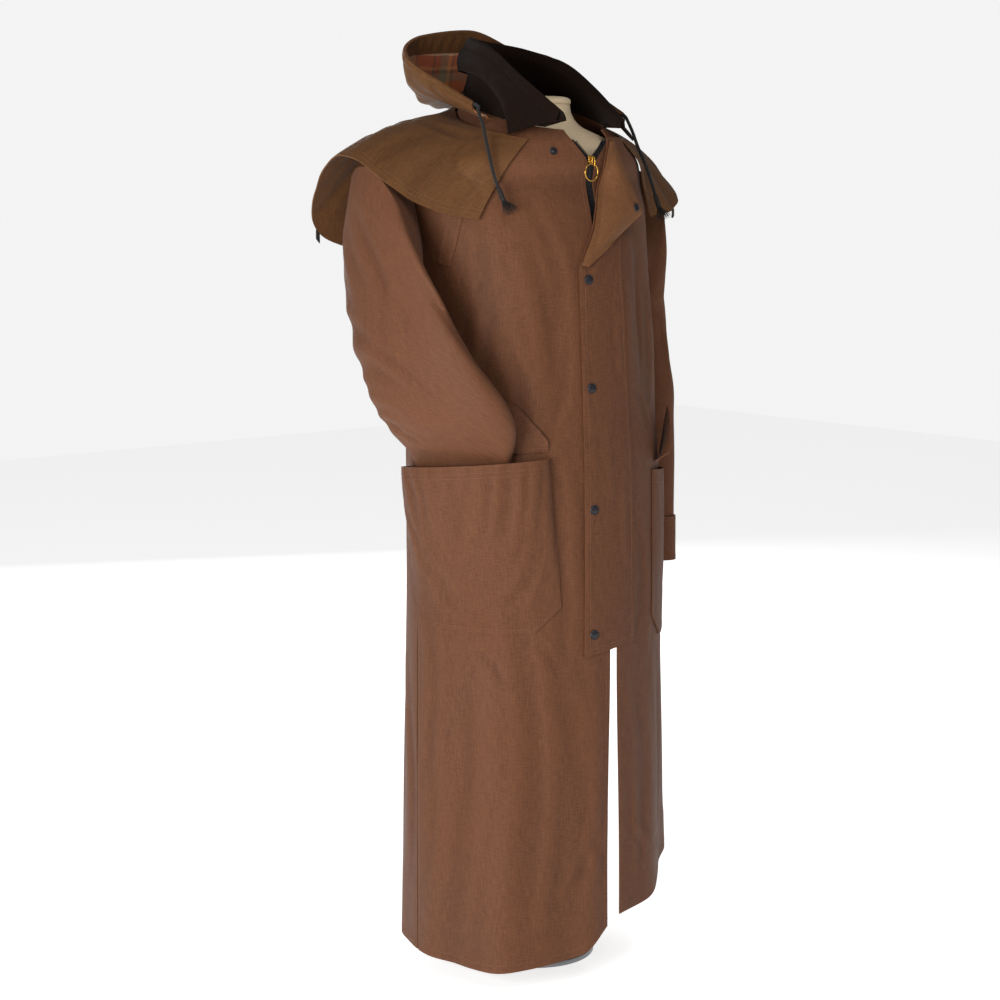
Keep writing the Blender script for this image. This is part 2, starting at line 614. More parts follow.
def wear_of(grid, normals, around):
    relief = ((grid - blurred(grid, 10, around)) * normals).sum(-1)
    worn = np.clip(relief / 0.0005, -1.0, 1.0) * 0.6
    rows, cols = worn.shape
    size = np.linalg.norm(grid[1:] - grid[:-1], axis=-1).mean()
    rim = np.minimum(np.arange(rows), np.arange(rows)[::-1])[:, None] * size
    rim = np.broadcast_to(rim, worn.shape)
    if not around:
        wide = np.linalg.norm(grid[:, 1:] - grid[:, :-1], axis=-1).mean()
        rim = np.minimum(rim, np.minimum(np.arange(cols), np.arange(cols)[::-1]) * wide)
    return worn + 0.7 * np.exp(-(rim / 0.0030) ** 2)


print(f"canvas {CLOTH * 1000} mm, lining {LINING * 1000} mm, seams {SEAM * 1000} mm apart")


# %% A closed wall from a grid
def cloth(name, grid, thick, finish, around=False, normals=None):
    rows, cols = grid.shape[:2]
    normals = grid_normals(grid, around) if normals is None else normals
    points = np.concatenate((grid.reshape(-1, 3), (grid - normals * thick).reshape(-1, 3)))
    count = rows * cols
    r, c = np.meshgrid(np.arange(rows - 1), np.arange(cols if around else cols - 1), indexing="ij")
    d = (c + 1) % cols
    a0, a1, b0, b1 = (r * cols + c, r * cols + d, (r + 1) * cols + c, (r + 1) * cols + d)
    outer = np.stack((a0, a1, b1, b0), -1).reshape(-1, 4)
    inner = np.stack((a0, b0, b1, a1), -1).reshape(-1, 4) + count
    wide = cols + 1 if around else cols
    uv_a = [r * wide + c, r * wide + c + 1, (r + 1) * wide + c, (r + 1) * wide + c + 1]
    uv_outer = np.stack((uv_a[0], uv_a[1], uv_a[3], uv_a[2]), -1).reshape(-1, 4)
    uv_inner = np.stack((uv_a[0], uv_a[2], uv_a[3], uv_a[1]), -1).reshape(-1, 4)
    rims, uv_rims = [], []
    for edge, flip in ((0, False), (rows - 1, True)):
        c = np.arange(cols if around else cols - 1)
        d = (c + 1) % cols
        face = np.stack((edge * cols + c, count + edge * cols + c,
                         count + edge * cols + d, edge * cols + d), -1)
        spot = np.stack((edge * wide + c, edge * wide + c,
                         edge * wide + c + 1, edge * wide + c + 1), -1)
        rims.append(face[:, ::-1] if flip else face)
        uv_rims.append(spot[:, ::-1] if flip else spot)
    if not around:
        for edge, flip in ((0, True), (cols - 1, False)):
            r = np.arange(rows - 1)
            face = np.stack((r * cols + edge, count + r * cols + edge,
                             count + (r + 1) * cols + edge, (r + 1) * cols + edge), -1)
            spot = np.stack((r * wide + edge, r * wide + edge,
                             (r + 1) * wide + edge, (r + 1) * wide + edge), -1)
            rims.append(face[:, ::-1] if flip else face)
            uv_rims.append(spot[:, ::-1] if flip else spot)
    faces = np.concatenate([outer, inner] + rims)
    mesh = bpy.data.meshes.new(name)
    mesh.from_pydata(points.tolist(), [], faces.tolist())
    laid = np.stack(spacing(grid, around), -1).reshape(-1, 2)
    layer = mesh.uv_layers.new(name="cloth")
    layer.data.foreach_set("uv", laid[np.concatenate([uv_outer, uv_inner] + uv_rims)].ravel())
    worn = wear_of(grid, normals, around).ravel()
    mark = mesh.attributes.new("wear", "FLOAT", "POINT")
    mark.data.foreach_set("value", np.concatenate((worn, worn * 0.3)).astype(np.float32))
    mesh.materials.append(finish)
    mesh.shade_smooth()
    mesh.set_sharp_from_angle(angle=math.radians(48))
    made = add_object(name, mesh)
    PIECES[name] = (grid, around)
    return made


print("a wall has an outer face, an inner face and a rim")


# %% Declaring a sheet, and pressing creases in it
def dress(made, node):
    """Declares a cloth piece: what it replaces, rides on and was cut to."""
    # a strap under 10 mm wide is cut 10 mm wide, its edges are turned in
    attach(made, "coat")
    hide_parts(node)


def sew(name, grid, thick, finish, slot, held, node=None, **options):
    """A sheet of cloth in the scene, declared for the CAD node it stands for."""
    dress(cloth("cloth_" + name, grid, thick, finish, **options), node or name)


def creased(grid, strokes, around=False):
    """Presses strokes in a grid; their ends are in percent of its width and length."""
    u, v = spacing(grid, around)
    if around:
        u, v = u[:, :-1], v[:, :-1]
    wide, tall = np.ptp(u), np.ptp(v)
    rows = [((x0 / 100 - 0.5) * wide, (y0 / 100 - 0.5) * tall, (x1 / 100 - 0.5) * wide,
             (y1 / 100 - 0.5) * tall, width * MM, depth * MM)
            for x0, y0, x1, y1, width, depth in strokes]
    return grid + grid_normals(grid, around) * stroke_depth(u, v, rows)[..., None]


print("cloth helpers ready")

# %% [markdown]
# ## Body panels
# A coat's body is cut as two fronts and a back. Each panel is a sheet between two
# edges given as ring angles, from the hem's curve up to the neck seam. The front
# edges open in a V above the zip's slider and stay a narrow slit below the flap.
# The side edges bow out round the armholes and part again at the side vents.

# %% Edges of the panels
SIDE_SEAM = 102.0
SIDE_GAP = 0.10          # half of the gap at the side seams, in ring degrees
VENT_TOP = 0.56
VENT_LEFT = 9.0
VENT_RIGHT = 0.5
SLIT_TOP = 0.515
SLIDER_Z = 1.237
ARM_ANGLE = 104.0
ARM_Z = 1.128
ARM_HALF_ANGLE = 18.5
ARM_HALF_HEIGHT = 0.094
HEM = table(("at", "height"), (
    (-180, 0.045), (-150, 0.038), (-110, 0.034), (-60, LOW_HEM), (-30, 0.040), (-16, 0.052),
    (-2, 0.092), (2, 0.100), (20, 0.108), (48, 0.138), (72, 0.148), (100, 0.122),
    (120, 0.080), (150, 0.050), (180, 0.045),
))


print("hem heights from", HEM["height"].min(), "to", HEM["height"].max())


# %% Curves of hem, neck, front and side
def neck_top(angle):
    return 1.278 + 0.074 * (1 - np.cos(np.radians(angle))) / 2


def hem_height(angle):
    return read(HEM, "height", turn_between(angle, 0.0))


def front_edge(side, height):
    slit = 2.0 + 1.6 * ramp(SLIT_TOP - height, 0.0, 0.35)
    spread = ramp(height, SLIDER_Z - 0.01, 1.285)
    return side * (slit + spread * (13.0 if side < 0 else 20.0))


def armhole(height):
    f = np.clip((height - ARM_Z) / ARM_HALF_HEIGHT, -1.0, 1.0)
    return ARM_HALF_ANGLE * np.sqrt(1.0 - f * f)


def side_edge(side, height, backwards):
    middle = mix(SIDE_SEAM, ARM_ANGLE, ramp(height, 0.8, 1.0))
    vent = (VENT_LEFT if side > 0 else VENT_RIGHT) * ramp(VENT_TOP - height, 0.0, 0.06)
    return middle + backwards * (armhole(height) + SIDE_GAP + vent)


print("front edges at the slider:", front_edge(-1, SLIDER_Z), front_edge(1, SLIDER_Z))


# %% Fronts and back
def shares(rows, cols):
    return np.meshgrid(np.linspace(0, 1, rows), np.linspace(0, 1, cols), indexing="ij")


def front_grid(side, rows=240, cols=76):
    v, u = shares(rows, cols)
    u = u if side > 0 else 1 - u
    height = 0.03 + 1.28 * v
    for _ in range(2):
        angle = mix(front_edge(side, height), side * side_edge(side, height, -1), u)
        low = hem_height(angle)
        height = low + (neck_top(angle) - low) * v
    angle = mix(front_edge(side, height), side * side_edge(side, height, -1), u)
    return body_point(angle, height), body_normal(angle, height)


def back_grid(rows=240, cols=96):
    v, u = shares(rows, cols)
    height = 0.04 + 1.29 * v
    for _ in range(3):
        angle = mix(side_edge(1, height, 1), 360.0 - side_edge(-1, height, 1), u)
        low = hem_height(angle)
        height = low + (neck_top(angle) - low) * v
    return body_point(angle, height), body_normal(angle, height)


for name, (grid, normals) in (("front_right", front_grid(-1)), ("front_left", front_grid(1)),
                              ("back", back_grid())):
    sew(name, grid, CLOTH, CANVAS, "waxed_canvas", "hung", normals=normals)

# %% [markdown]
# ## Sleeves
# A sleeve is a tube of rings that leaves the armhole, hangs down the side and, on
# the wearer's right, flattens and goes into the pocket. Elbow breaks and drag lines
# run slantwise across the front, as cloth does where a tube bends with nothing in it.

# %% Rings of the sleeves
SLEEVE_COLUMNS = ("at", "angle", "near_z", "near_off", "far_z", "far_off", "wide", "wrap", "flat")
RIGHT_SLEEVE = table(SLEEVE_COLUMNS, (
    (0, 101.0, 1.010, 0.006, 1.226, 0.083, 0.100, 0.0, 0.0),
    (1, 97.0, 0.998, 0.006, 1.160, 0.092, 0.114, 0.0, 0.0),
    (2, 93.0, 0.984, 0.006, 1.100, 0.093, 0.119, 0.0, 0.0),
    (3, 89.0, 0.966, 0.006, 1.045, 0.093, 0.116, 0.0, 0.0),
    (4, 85.0, 0.944, 0.006, 0.992, 0.092, 0.117, 0.1, 0.1),
    (5, 80.5, 0.916, 0.007, 0.944, 0.090, 0.116, 0.3, 0.2),
    (6, 76.0, 0.886, 0.008, 0.900, 0.084, 0.114, 0.5, 0.3),
    (7, 73.0, 0.856, 0.009, 0.860, 0.072, 0.108, 0.7, 0.5),
    (8, 71.5, 0.828, 0.008, 0.828, 0.046, 0.097, 0.9, 0.8),
    (9, 70.0, 0.800, 0.006, 0.800, 0.025, 0.084, 1.0, 1.0),
    (10, 69.0, 0.765, 0.004, 0.765, 0.018, 0.080, 1.0, 1.0),
    (11, 68.5, 0.720, 0.004, 0.720, 0.015, 0.077, 1.0, 1.0),
))
LEFT_SLEEVE = table(SLEEVE_COLUMNS, (
    (0, 104.0, 1.010, 0.006, 1.226, 0.074, 0.092, 0.0, 0.0),
    (1, 104.0, 0.998, 0.006, 1.160, 0.080, 0.094, 0.0, 0.0),
    (2, 104.5, 0.984, 0.006, 1.100, 0.082, 0.092, 0.0, 0.0),
    (3, 105.0, 0.966, 0.006, 1.045, 0.084, 0.090, 0.0, 0.0),
    (4, 105.0, 0.944, 0.006, 0.992, 0.086, 0.090, 0.1, 0.1),
    (5, 104.0, 0.912, 0.006, 0.935, 0.089, 0.092, 0.2, 0.1),
    (6, 103.0, 0.870, 0.008, 0.880, 0.091, 0.094, 0.2, 0.1),
    (7, 102.5, 0.825, 0.012, 0.825, 0.087, 0.090, 0.2, 0.1),
    (8, 102.0, 0.750, 0.014, 0.750, 0.083, 0.086, 0.2, 0.1),
    (9, 101.5, 0.677, 0.014, 0.677, 0.081, 0.082, 0.2, 0.1),
    (10, 101.0, 0.612, 0.014, 0.612, 0.079, 0.080, 0.2, 0.1),
))
CUFF = table(SLEEVE_COLUMNS, (
    (0, 101.4, 0.670, 0.014, 0.670, 0.0808, 0.0818, 0.2, 0.1),
    (1, 101.2, 0.642, 0.014, 0.642, 0.0800, 0.0810, 0.2, 0.1),
    (2, 101.0, 0.612, 0.014, 0.612, 0.0790, 0.0800, 0.2, 0.1),
    (3, 100.9, 0.599, 0.014, 0.599, 0.0790, 0.0800, 0.2, 0.1),
))
SLEEVE_SIDES = 84
ROOT_OFF = CLOTH + 0.0012
WRAP_RADIUS = 0.205      # the right sleeve's end bends round the body at this radius


print("sleeve rings:", len(RIGHT_SLEEVE["at"]), "right and", len(LEFT_SLEEVE["at"]), "left")


# %% One ring of a sleeve
def stadium(share, wide, thick):
    """Points on a flat ring with round ends, by their share of the way round."""
    straight = 2 * (wide - thick)
    half = straight + math.pi * thick
    far = share * 2 * half
    side = np.where(far >= half, -1.0, 1.0)
    far = np.where(far >= half, far - half, far)
    quarter = math.pi * thick / 2
    first = far < quarter
    second = far < quarter + straight
    turn = np.where(first, far / thick, math.pi / 2 + (far - quarter - straight) / thick)
    rounded = thick * np.cos(turn)
    x = np.where(first, straight / 2 + rounded,
                 np.where(second, straight / 2 - (far - quarter), -straight / 2 + rounded))
    y = np.where(second & ~first, thick, thick * np.sin(turn))
    return side * x, side * y


def sleeve_ring(side, tab, at, share):
    ring = {key: float(read(tab, key, at)) for key in SLEEVE_COLUMNS[1:]}
    level = body_normal(np.array(side * ring["angle"]), np.array(ring["near_z"]), False)
    outward = unit(level * np.array((1, 1, 0)))
    fore = np.array((-outward[1], outward[0], 0.0))
    fore = fore if fore[1] < 0 else -fore
    foot = body_base(side * ring["angle"], ring["near_z"], False)
    near = foot + outward * ring["near_off"]
    far = foot + outward * ring["far_off"]
    far[2] = ring["far_z"]
    rise = (far - near) / 2
    thick = float(np.linalg.norm(rise))
    flat_x, flat_y = stadium(share, ring["wide"], thick)
    x = mix(ring["wide"] * np.cos(2 * math.pi * share), flat_x, ring["flat"])
    y = mix(thick * np.sin(2 * math.pi * share), flat_y, ring["flat"])
    free = near + rise + fore * x[:, None] + rise / thick * y[:, None]
    if ring["wrap"] < 1e-6:
        return free
    angle = ring["angle"] - np.degrees(x / WRAP_RADIUS)
    bent = body_point(side * angle, free[:, 2], ring["near_off"] + thick + y, False)
    return mix(free, bent, ring["wrap"])


print("a ring turns from round to flat where the sleeve goes into the pocket")


# %% The sleeves' grids
def sleeve_grid(side, tab, steps, root=True, out=0.0):
    share = np.arange(SLEEVE_SIDES) / SLEEVE_SIDES
    rings = [sleeve_ring(side, tab, at, share) for at in np.linspace(tab["at"][-1], 0, steps)]
    if root:
        turn = 2 * math.pi * share
        angle = ARM_ANGLE - (ARM_HALF_ANGLE + 2.2) * np.cos(turn)
        height = ARM_Z + (ARM_HALF_HEIGHT + 0.011) * np.sin(turn)
        last = body_point(side * angle, height, ROOT_OFF, False)
        first = rings[-1]
        swell = unit(first - first.mean(0)) * 0.004
        for f in np.linspace(0, 1, 10)[1:]:
            rings.append(mix(first, last, f) + swell * math.sin(math.pi * f) ** 2)
    grid = np.array(rings)
    if side < 0:
        grid = grid[:, (-np.arange(SLEEVE_SIDES)) % SLEEVE_SIDES]
    normal = grid_normals(grid, True)[2, 0]
    if normal @ (grid[2, 0] - grid[2].mean(0)) < 0:
        grid = grid[:, ::-1]
    return grid + grid_normals(grid, True) * out if out else grid


right_grid = sleeve_grid(-1, RIGHT_SLEEVE, 92)
left_grid = sleeve_grid(1, LEFT_SLEEVE, 84)
cuff_grid = sleeve_grid(1, CUFF, 14, root=False, out=CLOTH + LAP)
print("rows in the grids:", len(right_grid), len(left_grid), len(cuff_grid))

# %% Creases of the sleeves and the cuff
# Each row: start and end in percent of the way round and of the way up, width and
# depth in mm. The right sleeve's front lies at 30 to 65 percent of the way round.
RIGHT_SLEEVE_CREASES = (
    (40, 62, 62, 47, 13, -3.0), (38, 56, 60, 40, 12, 2.4), (44, 50, 66, 34, 14, -3.4),
    (36, 72, 55, 58, 14, 2.2), (45, 40, 64, 27, 10, 2.2), (40, 34, 60, 24, 8, -2.4),
    (46, 84, 40, 62, 13, -2.0), (58, 80, 62, 55, 15, 2.0), (34, 46, 44, 28, 10, -1.8),
    (52, 30, 58, 20, 6, -2.2), (44, 28, 46, 19, 6, 2.0), (36, 26, 38, 18, 7, -1.8),
    (70, 78, 76, 50, 15, -2.4), (78, 66, 70, 42, 13, 2.0), (86, 72, 92, 46, 16, -2.2),
    (20, 70, 12, 44, 14, 1.8), (5, 62, 14, 36, 12, -1.6), (64, 44, 74, 30, 9, -2.0),
)
LEFT_SLEEVE_CREASES = (
    (30, 52, 52, 44, 11, -2.8), (34, 44, 56, 40, 10, 2.2), (28, 38, 50, 33, 12, -2.6),
    (60, 50, 80, 43, 12, -2.6), (62, 42, 82, 36, 11, 2.0), (44, 86, 40, 58, 14, -2.0),
    (64, 82, 70, 56, 14, 2.0), (80, 78, 86, 52, 13, -2.2), (20, 74, 14, 50, 13, 1.8),
    (36, 28, 40, 10, 11, 1.8), (58, 30, 54, 12, 12, -2.2), (74, 28, 78, 8, 12, 1.8),
    (10, 32, 16, 14, 12, -1.8), (92, 36, 88, 16, 11, -1.8),
)
for name, grid in (("sleeve_right", creased(right_grid, RIGHT_SLEEVE_CREASES, True)),
                   ("sleeve_left", creased(left_grid, LEFT_SLEEVE_CREASES, True)),
                   ("cuff_left", cuff_grid)):
    sew(name, grid, CLOTH, CANVAS, "waxed_canvas", "hung", around=True)

# %% [markdown]
# ## Shoulder cape
# The cape is three pieces sewn at the shoulders. Each point runs on a curve from
# the neck seam, over the shoulder, to a hem that is given by its own table. The
# cloth there is stiff, so the folds are few and shallow and the corners stand off.

# %% The cape
CAPE_HEM = table(("at", "x", "y", "z", "lift"), (
    (50, 0.172, -0.074, 1.150, 0.012), (66, 0.217, -0.046, 1.160, 0.016),
    (76, 0.250, -0.027, 1.176, 0.020), (86, 0.278, 0.008, 1.204, 0.026),
    (96, 0.293, 0.056, 1.236, 0.028), (104, 0.294, 0.098, 1.243, 0.027),
    (112, 0.293, 0.134, 1.226, 0.028), (122, 0.286, 0.172, 1.186, 0.028),
    (132, 0.270, 0.200, 1.146, 0.026), (142, 0.238, 0.211, 1.118, 0.026),
    (155, 0.168, 0.214, 1.100, 0.024), (168, 0.085, 0.213, 1.094, 0.022),
    (180, 0.000, 0.212, 1.092, 0.022),
))
CAPE_FRONT = 36.0
CAPE_NECK_DROP = 0.022
LEFT_FLARE = 0.022
SHOULDER_SEAM = 104.0
NECK_TOP = 1.355         # above the neck seam nothing is pushed out
SEAM_TURN = 0.15         # half of the gap at the shoulder seams, in ring degrees
CAPE_CORNER = 50.0       # where the hem's table starts, at the front corner


print("cape's lowest hem:", CAPE_HEM["z"].min())


# %% Points of the cape, clear of the body
def clear_of_body(points, gap):
    """Moves points that lie too close out to this gap from the body's rings."""
    side = read(BODY, "half_width", points[..., 2]) + gap
    middle = read(BODY, "centre_y", points[..., 2])
    deep = np.where(points[..., 1] < middle, read(BODY, "front", points[..., 2]),
                    read(BODY, "back", points[..., 2])) + gap
    reach = np.hypot(points[..., 0] / side, (points[..., 1] - middle) / deep)
    reach = np.where((reach >= 1.0) | (points[..., 2] > NECK_TOP), 1.0, reach)
    return np.stack((points[..., 0] / reach, middle + (points[..., 1] - middle) / reach,
                     points[..., 2]), -1)


def cape_point(side, at, share, flare=0.0):
    side = np.where(at > 180.0, -side, side) * 1.0
    at = np.where(at > 180.0, 360.0 - at, at)
    along_front = (at - CAPE_CORNER) / (SHOULDER_SEAM - CAPE_CORNER)
    neck_angle = np.where(at < SHOULDER_SEAM, mix(CAPE_FRONT, SHOULDER_SEAM, along_front), at)
    neck = body_point(side * neck_angle, neck_top(neck_angle) - CAPE_NECK_DROP, 0.004, False)
    end = np.stack((side * read(CAPE_HEM, "x", at), read(CAPE_HEM, "y", at),
                    read(CAPE_HEM, "z", at)), -1)
    spread = flare * ramp(at, 50, 64) * (1 - ramp(at, 72, 92))
    end = end + np.stack((side * 0.3 * spread, -spread, 0 * spread), -1)
    lift = read(CAPE_HEM, "lift", at)
    middle = mix(neck, end, 0.5) + np.stack((side * 0.3 * lift, 0 * lift, lift), -1)
    share = share[..., None]
    point = neck * (1 - share) ** 2 + middle * 2 * share * (1 - share) + end * share ** 2
    return clear_of_body(point, 0.005 + 0.004 * share[..., 0])


def cape_grid(side, low_at, high_at, cols, flare=0.0, rows=64):
    v, u = shares(rows, cols)
    grid = cape_point(side, mix(low_at, high_at, u), 1 - v, flare)
    return grid if side > 0 else grid[:, ::-1]


print("cape's back centre at the hem:", np.round(cape_point(1, np.array(180.0), np.array(1.0)), 3))

# %% The three pieces of the cape
CAPE_FRONT_CREASES = (
    (10, 4, 16, 62, 11, 1.6), (26, 2, 32, 50, 12, -1.8), (46, 3, 44, 66, 14, 1.8),
    (62, 2, 56, 58, 13, -2.0), (80, 5, 72, 70, 13, 1.6), (20, 66, 56, 78, 9, -1.4),
)
CAPE_BACK_CREASES = (
    (10, 4, 16, 66, 15, -2.0), (20, 2, 24, 52, 14, 2.0), (31, 3, 34, 72, 16, -2.4),
    (42, 2, 43, 60, 14, 2.0), (52, 3, 50, 74, 15, -2.0), (61, 2, 60, 56, 13, 1.8),
    (72, 3, 67, 68, 16, -2.3), (82, 4, 77, 58, 14, 2.0), (91, 5, 84, 62, 13, -1.8),
    (36, 78, 62, 82, 9, -1.4),
)
front_end, back_start = SHOULDER_SEAM - SEAM_TURN, SHOULDER_SEAM + SEAM_TURN
for name, grid, rows in (
    ("cape_front_right", cape_grid(-1, CAPE_CORNER, front_end, 60), CAPE_FRONT_CREASES),
    ("cape_front_left", cape_grid(1, CAPE_CORNER, front_end, 60, LEFT_FLARE), CAPE_FRONT_CREASES),
    ("cape_back", cape_grid(1, back_start, 360 - back_start, 130), CAPE_BACK_CREASES),
):
    sew(name, creased(grid, rows), CLOTH, TAN_CANVAS, "waxed_canvas", "draped")

# %% [markdown]
# ## Collar
# A turned-down collar is one sheet that rises from the neck seam as the stand and
# folds over into the fall. The fold is a small half circle. The fall's corner lies
# out over the cape. The wales of the corduroy run up the collar.

# %% The corduroy collar
CORDUROY_WALL = 0.0028
COLLAR = table(("at", "neck", "fold_x", "fold_y", "fold_z", "edge_x", "edge_y", "edge_z"), (
    (-1.0, -27.0, -0.054, -0.119, 1.297, -0.114, -0.072, 1.272),
    (-0.75, -58.0, -0.076, -0.052, 1.350, -0.102, -0.046, 1.314),
    (-0.50, -98.0, -0.080, 0.024, 1.397, -0.091, 0.025, 1.360),
    (-0.25, -140.0, -0.056, 0.086, 1.410, -0.065, 0.100, 1.370),
    (0.00, -180.0, 0.000, 0.109, 1.406, 0.000, 0.136, 1.364),
    (0.25, -220.0, 0.050, 0.082, 1.396, 0.070, 0.108, 1.356),
    (0.50, -262.0, 0.071, 0.018, 1.375, 0.103, 0.028, 1.336),
    (0.75, -302.0, 0.080, -0.042, 1.336, 0.118, -0.032, 1.304),
    (1.00, -332.0, 0.074, -0.112, 1.288, 0.118, -0.088, 1.264),
))
COLLAR_BEND = 0.0065


def collar_point(at, share):
    neck = read(COLLAR, "neck", at)
    up = np.array((0.0, 0.0, 1.0))
    seam = body_point(neck, neck_top(neck), -0.0005, False) + up * 4 * SEAM
    fold = np.stack([read(COLLAR, "fold_" + axis, at) for axis in "xyz"], -1)
    edge = np.stack([read(COLLAR, "edge_" + axis, at) for axis in "xyz"], -1)
    away = unit((edge - fold) * np.array((1, 1, 0)))
    if share < 0.4:
        return mix(seam, fold - away * COLLAR_BEND - up * 0.006, share / 0.4)
    if share > 0.6:
        f = (share - 0.6) / 0.4
        point = mix(fold + away * COLLAR_BEND - up * 0.006, edge, f)
        return point + away * 0.006 * math.sin(math.pi * f)
    turn = math.pi * (share - 0.4) / 0.2
    over = -away * math.cos(turn) * COLLAR_BEND
    return fold + over + up * (0.007 * math.sin(turn) - 0.006 * abs(math.cos(turn)))


collar_at = np.linspace(-1, 1, 150)
collar_shares = np.concatenate((np.linspace(0, 0.4, 16), np.linspace(0.42, 0.58, 10),
                                np.linspace(0.6, 1.0, 18)))
collar_grid = np.array([collar_point(collar_at, share) for share in collar_shares])[:, ::-1]
COLLAR_CREASES = (
    (30, 60, 34, 98, 9, 1.2), (62, 58, 60, 96, 10, -1.2), (80, 62, 84, 95, 8, 1.0),
    (14, 64, 18, 95, 8, -1.0),
)
sew("collar", creased(collar_grid, COLLAR_CREASES), CORDUROY_WALL, CORDUROY, "corduroy", "folded")

# %% [markdown]
# ## Hood
# The hood is folded down behind the collar, its mouth up. Each column of the grid
# is one curve from the neck seam, through the sagging belly, to the rim. The
# lining is the same grid moved inwards, and the casing for the drawcord is the
# last strip at the rim, thicker because it holds the cord.

# %% Hood, lining and casing
HOOD = table(("at", "rim_x", "rim_y", "rim_z", "belly_x", "belly_y", "belly_z"), (
    (-62, -0.128, -0.010, 1.320, -0.134, -0.012, 1.296),
    (-80, -0.138, 0.044, 1.346, -0.140, 0.044, 1.314),
    (-102, -0.150, 0.106, 1.378, -0.138, 0.100, 1.322),
    (-122, -0.134, 0.148, 1.404, -0.124, 0.156, 1.312),
    (-145, -0.090, 0.160, 1.424, -0.092, 0.200, 1.292),
    (-180, -0.006, 0.150, 1.434, -0.004, 0.218, 1.280),
    (-215, 0.074, 0.146, 1.410, 0.092, 0.196, 1.290),
    (-238, 0.116, 0.124, 1.388, 0.128, 0.156, 1.310),
    (-258, 0.134, 0.080, 1.364, 0.142, 0.100, 1.320),
    (-280, 0.138, 0.026, 1.342, 0.144, 0.038, 1.314),
    (-298, 0.134, -0.048, 1.308, 0.142, -0.044, 1.280),
)[::-1])
HOOD_NECK_DROP = 0.006
HOOD_NECK_OUT = CLOTH + 2 * SEAM
CASING_WALL = 0.0050     # the rim's strip is rolled round the cord


def hood_point(angle, share):
    rim = np.stack([read(HOOD, "rim_" + axis, angle) for axis in "xyz"], -1)
    belly = np.stack([read(HOOD, "belly_" + axis, angle) for axis in "xyz"], -1)
    neck = body_point(angle, neck_top(angle) - HOOD_NECK_DROP, HOOD_NECK_OUT, False)
    low = mix(neck, belly, 0.65)
    low[:, 2] = belly[:, 2]
    far = belly.copy()
    far[:, 2] = mix(belly[:, 2], rim[:, 2], 0.25)
    far += unit(np.stack((belly[:, 0], belly[:, 1] - 0.04, 0 * angle), -1)) * 0.012
    s = share
    return (neck * (1 - s) ** 3 + low * 3 * s * (1 - s) ** 2
            + far * 3 * s * s * (1 - s) + rim * s ** 3)


def hood_grid(low, high, rows, cols=150):
    angle = np.linspace(-298.0, -62.0, cols)
    return np.array([hood_point(angle, share) for share in np.linspace(low, high, rows)])


HOOD_CREASES = (
    (8, 35, 20, 90, 11, -2.4), (16, 22, 30, 72, 12, 2.2), (30, 30, 36, 94, 12, -2.6),
    (42, 18, 44, 76, 13, 2.4), (52, 26, 53, 94, 12, -2.8), (62, 20, 58, 80, 12, 2.4),
    (72, 28, 67, 92, 11, -2.6), (82, 20, 74, 84, 12, 2.4), (92, 34, 84, 90, 10, -2.2),
    (86, 14, 95, 44, 9, -1.8), (24, 56, 46, 50, 9, -1.6), (56, 52, 78, 58, 9, -1.6),
)
hood_outer = creased(hood_grid(0.0, 0.899, 60), HOOD_CREASES)
hood_normals = grid_normals(hood_outer)
sew("hood", hood_outer, CLOTH, TAN_CANVAS, "waxed_canvas", "draped", normals=hood_normals)
inside = slice(9, 60)    # the lining starts a little above the neck seam
lining = hood_outer[inside] - hood_normals[inside] * (CLOTH + SEAM)
sew("hood_lining", lining, LINING, FLANNEL, "plaid_flannel", "draped", normals=hood_normals[inside])
casing_grid = hood_grid(0.902, 1.0, 14)
casing_normals = grid_normals(casing_grid)
gathers = 0.0006 * np.sin(np.linspace(0, 2 * math.pi * 31, 150) + 2.2 * np.sin(np.linspace(0, 9, 150)))
rolled = np.sin(np.linspace(0, math.pi, 14))[:, None] * (0.0009 + gathers[None, :])
sew("hood_casing", casing_grid + casing_normals * (LAP + rolled)[..., None], CASING_WALL,
    TAN_CANVAS, "waxed_canvas", "folded", normals=casing_normals)

# %% Plaid facing inside the back neck
v, u = shares(16, 110)
facing_angle = mix(98.0, 262.0, u)
facing_high = neck_top(facing_angle) - 0.002 - 0.034 * (1 - v)
facing = body_point(facing_angle, facing_high, -CLOTH - 2 * LAP, False)
sew("neck_facing", facing, LINING, FLANNEL, "plaid_flannel", "hung")

# %% [markdown]
# ## Storm flap and lapel
# The storm flap is a long strip sewn beside the zip on the wearer's left. It laps
# over the zip and snaps down on the other front. At the top it is turned back and
# shows its paler inner face, like a lapel. The turned part is its own sheet here,
# because one sheet of points can't fold over a slanting line cleanly.

# %% Storm flap
FLAP = table(("at", "seam", "free"), (
    (0.508, 11, -15.5), (0.75, 11, -15.0), (0.95, 10.5, -14.0), (1.072, 11, -12.0),
    (1.14, 14, -2.4), (1.20, 19, 3.5), (1.235, 24, 7.0), (1.266, 32, 14.0),
))
FLAP_OUT = 0.0032
FLAP_LOW = 0.508
FLAP_TURN = 1.072        # the free edge folds back from this height up
FLAP_TOP = 1.266


def top_lap(height):
    return 0.0018 * ramp(height, 1.10, 1.21)


